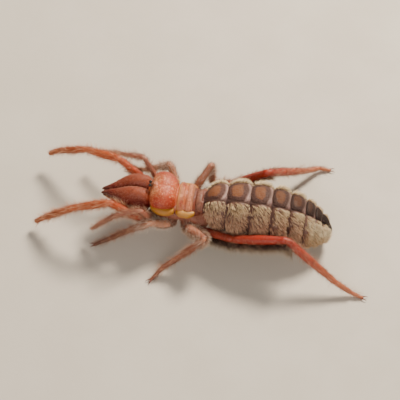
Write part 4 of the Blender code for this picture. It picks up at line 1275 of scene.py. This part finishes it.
class CAMEL_SPIDER_OT_abdomen_coat(bpy.types.Operator):
    """Golden bristles on the flanks, short hair on the plates, and a pale fringe on the far flank whose cream is
    painted rim light
    """

    bl_idname = "camel_spider.abdomen_coat"
    bl_label = "Abdomen coat"

    def execute(self, context):
        tufts, slot = looks().bristle_tufts, "abdomen_skin"
        bristly = {"lie": bristle_lie, "pale": bristle_pale_and_lit}
        flank = {**bristly, "length": bristle_length, "thickness": 1.1, "hairs": 4, "density": bristle_density}
        for name, seed, low, high, share in (("left", 11, 215.0, 333.5, 1.0), ("right", 12, 50.0, 145.0, 0.84)):
            grow_coat(f"flank_bristles_{name}", abdomen_surface, (0.9, 25.3, low, high), int(tufts * share),
                      "flank_bristles", slot, seed, lift=22.0, droop=0.16, spread=10.0, tuft_width=0.055,
                      gather=0.95, stations=LONG_HAIR, **flank)
        # Cream fringe along the top of the far flank only: painted rim light where light from behind catches that
        # edge
        grow_coat("far_flank_backlit_fringe", abdomen_surface, (0.9, 25.3, 26.5, 62.0), int(tufts * 0.62), "backlit_fringe_hairs", slot,
                  15, lift=38.0, droop=0.24, spread=16.0, tuft_width=0.08, gather=0.85, **flank)

        def end_density(places, turns):
            return bristle_density(places, turns) * ramp(places - 20.0, 4.0)

        # Cream bristles on the near side of the tail end: partly real pale hair, partly painted light on the tail's
        # lit flank
        grow_coat("tail_bristles", abdomen_surface, (20.2, 25.4, 205.0, 325.0), int(tufts * 0.28), "tail_hairs",
                  slot, 16, 1.35, 1.2, hairs=3, lift=36.0, droop=0.2, spread=18.0, tuft_width=0.05, gather=0.9,
                  density=end_density, stations=LONG_HAIR, **bristly)

        def raised(places, turns):
            return abdomen_surface(places, turns, 0.24)

        grow_coat("back_plate_hairs", raised, (1.0, 25.2, -24.0, 24.0), 900, "plate_hairs", slot, 13, 0.45, 0.7,
                  lift=20.0, droop=0.12, spread=16.0)
        grow_coat("belly_hairs", raised, (1.0, 25.2, 144.0, 216.0), 2200, "flank_bristles", slot, 14, 1.0,
                  hairs=3, lift=16.0, spread=18.0)
        return {"FINISHED"}


class CAMEL_SPIDER_OT_front_coat(bpy.types.Operator):
    """Fine pale hair on the shield, thorax plates, jaws and leg bases"""

    bl_idname = "camel_spider.front_coat"
    bl_label = "Head coat"

    def execute(self, context):
        forward = 180.0

        def top_only(places, turns):
            return 1.0 - 0.85 * ramp(from_back(turns) - 28.0, 14.0)

        def upper_jaw(places, turns):
            return ramp(places + 18.5, 4.0, 0.05) * np.clip(1.1 * height_of(turns) - 0.05, 0.03, 1.0)

        shield = dome_surface(SHIELD_OUTLINE, SHIELD_SAG, SHIELD_ROUNDING, shield_swell)
        grow_coat("shield_hairs", shield, (-9.4, -4.8, -80.0, 80.0), 1500, "shield_hairs", "shield", 21, 0.3, 1.1,
                  hairs=1, lie=forward, lift=58.0, spread=30.0, density=top_only)
        for number, (name, (_, outline)) in enumerate(THORAX_PLATES.items()):
            window = (outline[0][0] + 0.2, outline[-1][0] - 0.2, -70.0, 70.0)
            grow_coat(f"{name}_plate_hairs", dome_surface(outline, PLATE_SAG, PLATE_ROUNDING), window, 420,
                      "shield_hairs", "thorax_plate", 22 + number, 0.4, 0.9, lift=45.0, droop=0.15, spread=25.0)
        for side_name, facing in SIDES.items():
            jaw = oval_surface(JAW_OUTLINE, facing, JAW_SQUARENESS)
            grow_coat(f"jaw_hairs_{side_name}", jaw, (-18.6, -9.9, -80.0, 250.0), 1700, "jaw_hairs", "jaw",
                      24 + int(facing), 0.36, 0.8, lie=forward, lift=46.0, droop=0.2, spread=24.0,
                      tuft_width=0.1, density=upper_jaw)
            grow_coat(f"jaw_bristles_{side_name}", jaw, (-17.5, -10.5, 150.0, 350.0), 170, "jaw_bristles", "jaw",
                      27 + int(facing), 1.5, lie=forward, lift=50.0, droop=0.25, spread=22.0, stations=LONG_HAIR)
            for number, limb in enumerate(HIPS):
                surface, total = leg_base_form(limb, facing)
                grow_coat(f"{limb}_{side_name}_base_hairs", surface, (0.9, total - 0.2, 0.0, 360.0), 260,
                          "leg_base_hairs", "chest", 130 + number * 3 + int(facing), 0.95, hairs=3, lift=46.0,
                          droop=0.15, spread=22.0)
        return {"FINISHED"}


class CAMEL_SPIDER_OT_limb_coat(bpy.types.Operator):
    """Fine hair along every limb, with longer bristles below the hind legs"""

    bl_idname = "camel_spider.limb_coat"
    bl_label = "Limb coat"

    def execute(self, context):
        fine_length = looks().fine_hair_length / MM
        # Places, turns, tufts, hair, length and thickness of the long hair, where a limb has it
        fringes = {
            ("leg3", "left"): ((0.9, 9.0, 150.0, 390.0), 700, "thick_leg_hairs", 1.3, 0.9, 60.0),
            # The hind legs' long hair has dark roots and middles, partly painted shade
            ("leg4", "left"): ((2.0, 21.0, 235.0, 350.0), 1600, "shaded_long_limb_hairs", 2.6, 1.3, 62.0),
            ("leg4", "right"): ((2.0, 21.0, 200.0, 265.0), 500, "shaded_long_limb_hairs", 2.6, 1.3, 62.0),
        }
        tufts_per_mm = {("palp", "left"): 46, ("leg4", "left"): 14, ("leg4", "right"): 14}
        for number, limb in enumerate(LIMBS):
            for side_name, facing in SIDES.items():
                surface, total, _ = limb_form(limb, side_name)
                name, slot = f"{limb}_{side_name}", slot_of(limb)
                seed = 40 + number * 4 + int(facing)

                def length(places, turns):
                    return fine_length * (1.0 - 0.45 * places / total)

                def density(places, turns):
                    thin = 0.35 * bump(places / total - 0.38, 0.16) if limb == "leg4" else 0.0
                    return 1.0 - thin * 2.2 * ramp(height_of(turns) + 0.6)

                # Hair is paler near the hips of legs II and III: partly their own pale hair, partly painted light on
                # lit hairs
                def pale(places, turns):
                    return {"leg2": 1.0, "leg3": 0.85}.get(limb, 0.0) * ramp(0.5 - places / total, 0.12)

                grow_coat(f"{name}_hairs", surface, (0.8, total - 0.1, 0.0, 360.0), int(total * 42),
                          f"{slot}_hairs", slot, seed, length, 0.7, lift=60.0, droop=0.12, tuft_width=0.14,
                          gather=0.1, density=density, pale=pale)
                bristles = int(total * tufts_per_mm.get((limb, side_name), 30))
                grow_coat(f"{name}_bristles", surface, (1.0, total - 0.6, 0.0, 360.0), bristles,
                          f"{slot}_bristles", slot, seed + 60, 1.7, 0.95, hairs=1, lift=52.0, droop=0.15,
                          spread=22.0, density=density, pale=pale, stations=LONG_HAIR)
                if (limb, side_name) in fringes:
                    window, tufts, hair, reach, thickness, lift = fringes[limb, side_name]
                    grow_coat(f"{name}_fringe", surface, window, tufts, hair, slot, seed + 80, reach, thickness,
                              hairs=3, lift=lift, gather=0.6 if limb == "leg4" else 0.5, stations=LONG_HAIR)
        return {"FINISHED"}


# Stage

class CAMEL_SPIDER_OT_stage(bpy.types.Operator):
    """Pale floor, soft light and the camera"""

    bl_idname = "camel_spider.stage"
    bl_label = "Stage"

    def execute(self, context):
        bm = bmesh.new()
        bmesh.ops.create_grid(bm, x_segments=8, y_segments=8, size=1.5)
        mesh = mesh_of(bm, "floor")
        mesh.materials.append(skin_material("floor_paint", (60.0, 900.0), (0.66, 0.60, 0.52), [
            ("Patches", 0.5, (0.60, 0.54, 0.46))], (0.7, 0.85), 0.1))
        add_object("floor", mesh)
        for name, (place, size, power, colour) in LIGHTS.items():
            data = bpy.data.lights.new(name, "AREA")
            data.shape = "DISK"
            data.size, data.energy, data.color = size, power, colour
            lamp = add_object(name, data)
            lamp.location = Vector(place)
            lamp.rotation_euler = (-lamp.location).to_track_quat("-Z", "Y").to_euler()
        world = context.scene.world or bpy.data.worlds.new("studio")
        context.scene.world = world
        world.use_nodes = True
        sky = world.node_tree.nodes["Background"].inputs
        sky["Color"].default_value = (1.0, 0.96, 0.9, 1.0)
        sky["Strength"].default_value = 0.24
        turn, rise = math.radians(CAMERA_TURN), math.radians(CAMERA_RISE)
        back = Vector((math.sin(turn) * math.cos(rise), -math.cos(turn) * math.cos(rise), math.sin(rise)))
        data = bpy.data.cameras.new("camera")
        data.lens = CAMERA_LENS
        data.clip_start, data.clip_end = 0.01, 10.0
        camera = add_object("camera", data)
        camera.location = (Vector(CAMERA_TARGET) + Vector(SHIFT) + back * CAMERA_DISTANCE) * MM
        camera.rotation_euler = (-back).to_track_quat("-Z", "Y").to_euler()
        context.scene.camera = camera
        return {"FINISHED"}


class CAMEL_SPIDER_PT_panel(bpy.types.Panel):
    """Buttons for each piece of the camel spider"""

    bl_label = "Camel spider"
    bl_idname = "CAMEL_SPIDER_PT_panel"
    bl_space_type = "VIEW_3D"
    bl_region_type = "UI"
    bl_category = "Camel spider"

    def draw(self, context):
        for name in CamelSpiderLooks.__annotations__:
            self.layout.prop(context.scene.camel_spider_looks, name)
        for operator in OPERATORS:
            self.layout.operator(operator.bl_idname)


OPERATORS = (
    CAMEL_SPIDER_OT_abdomen,
    CAMEL_SPIDER_OT_abdomen_plates,
    CAMEL_SPIDER_OT_shield,
    CAMEL_SPIDER_OT_thorax,
    CAMEL_SPIDER_OT_jaws,
    CAMEL_SPIDER_OT_leg_bases,
    CAMEL_SPIDER_OT_limbs,
    CAMEL_SPIDER_OT_abdomen_coat,
    CAMEL_SPIDER_OT_front_coat,
    CAMEL_SPIDER_OT_limb_coat,
    CAMEL_SPIDER_OT_stage,
)
CLASSES = (CamelSpiderLooks, *OPERATORS, CAMEL_SPIDER_PT_panel)


def register():
    for item in CLASSES:
        bpy.utils.register_class(item)
    bpy.types.Scene.camel_spider_looks = bpy.props.PointerProperty(type=CamelSpiderLooks)


def unregister():
    del bpy.types.Scene.camel_spider_looks
    for item in reversed(CLASSES):
        bpy.utils.unregister_class(item)


def main():
    register()
    for operator in OPERATORS:
        family, name = operator.bl_idname.split(".")
        getattr(getattr(bpy.ops, family), name)()


if __name__ == "__main__":
    main()
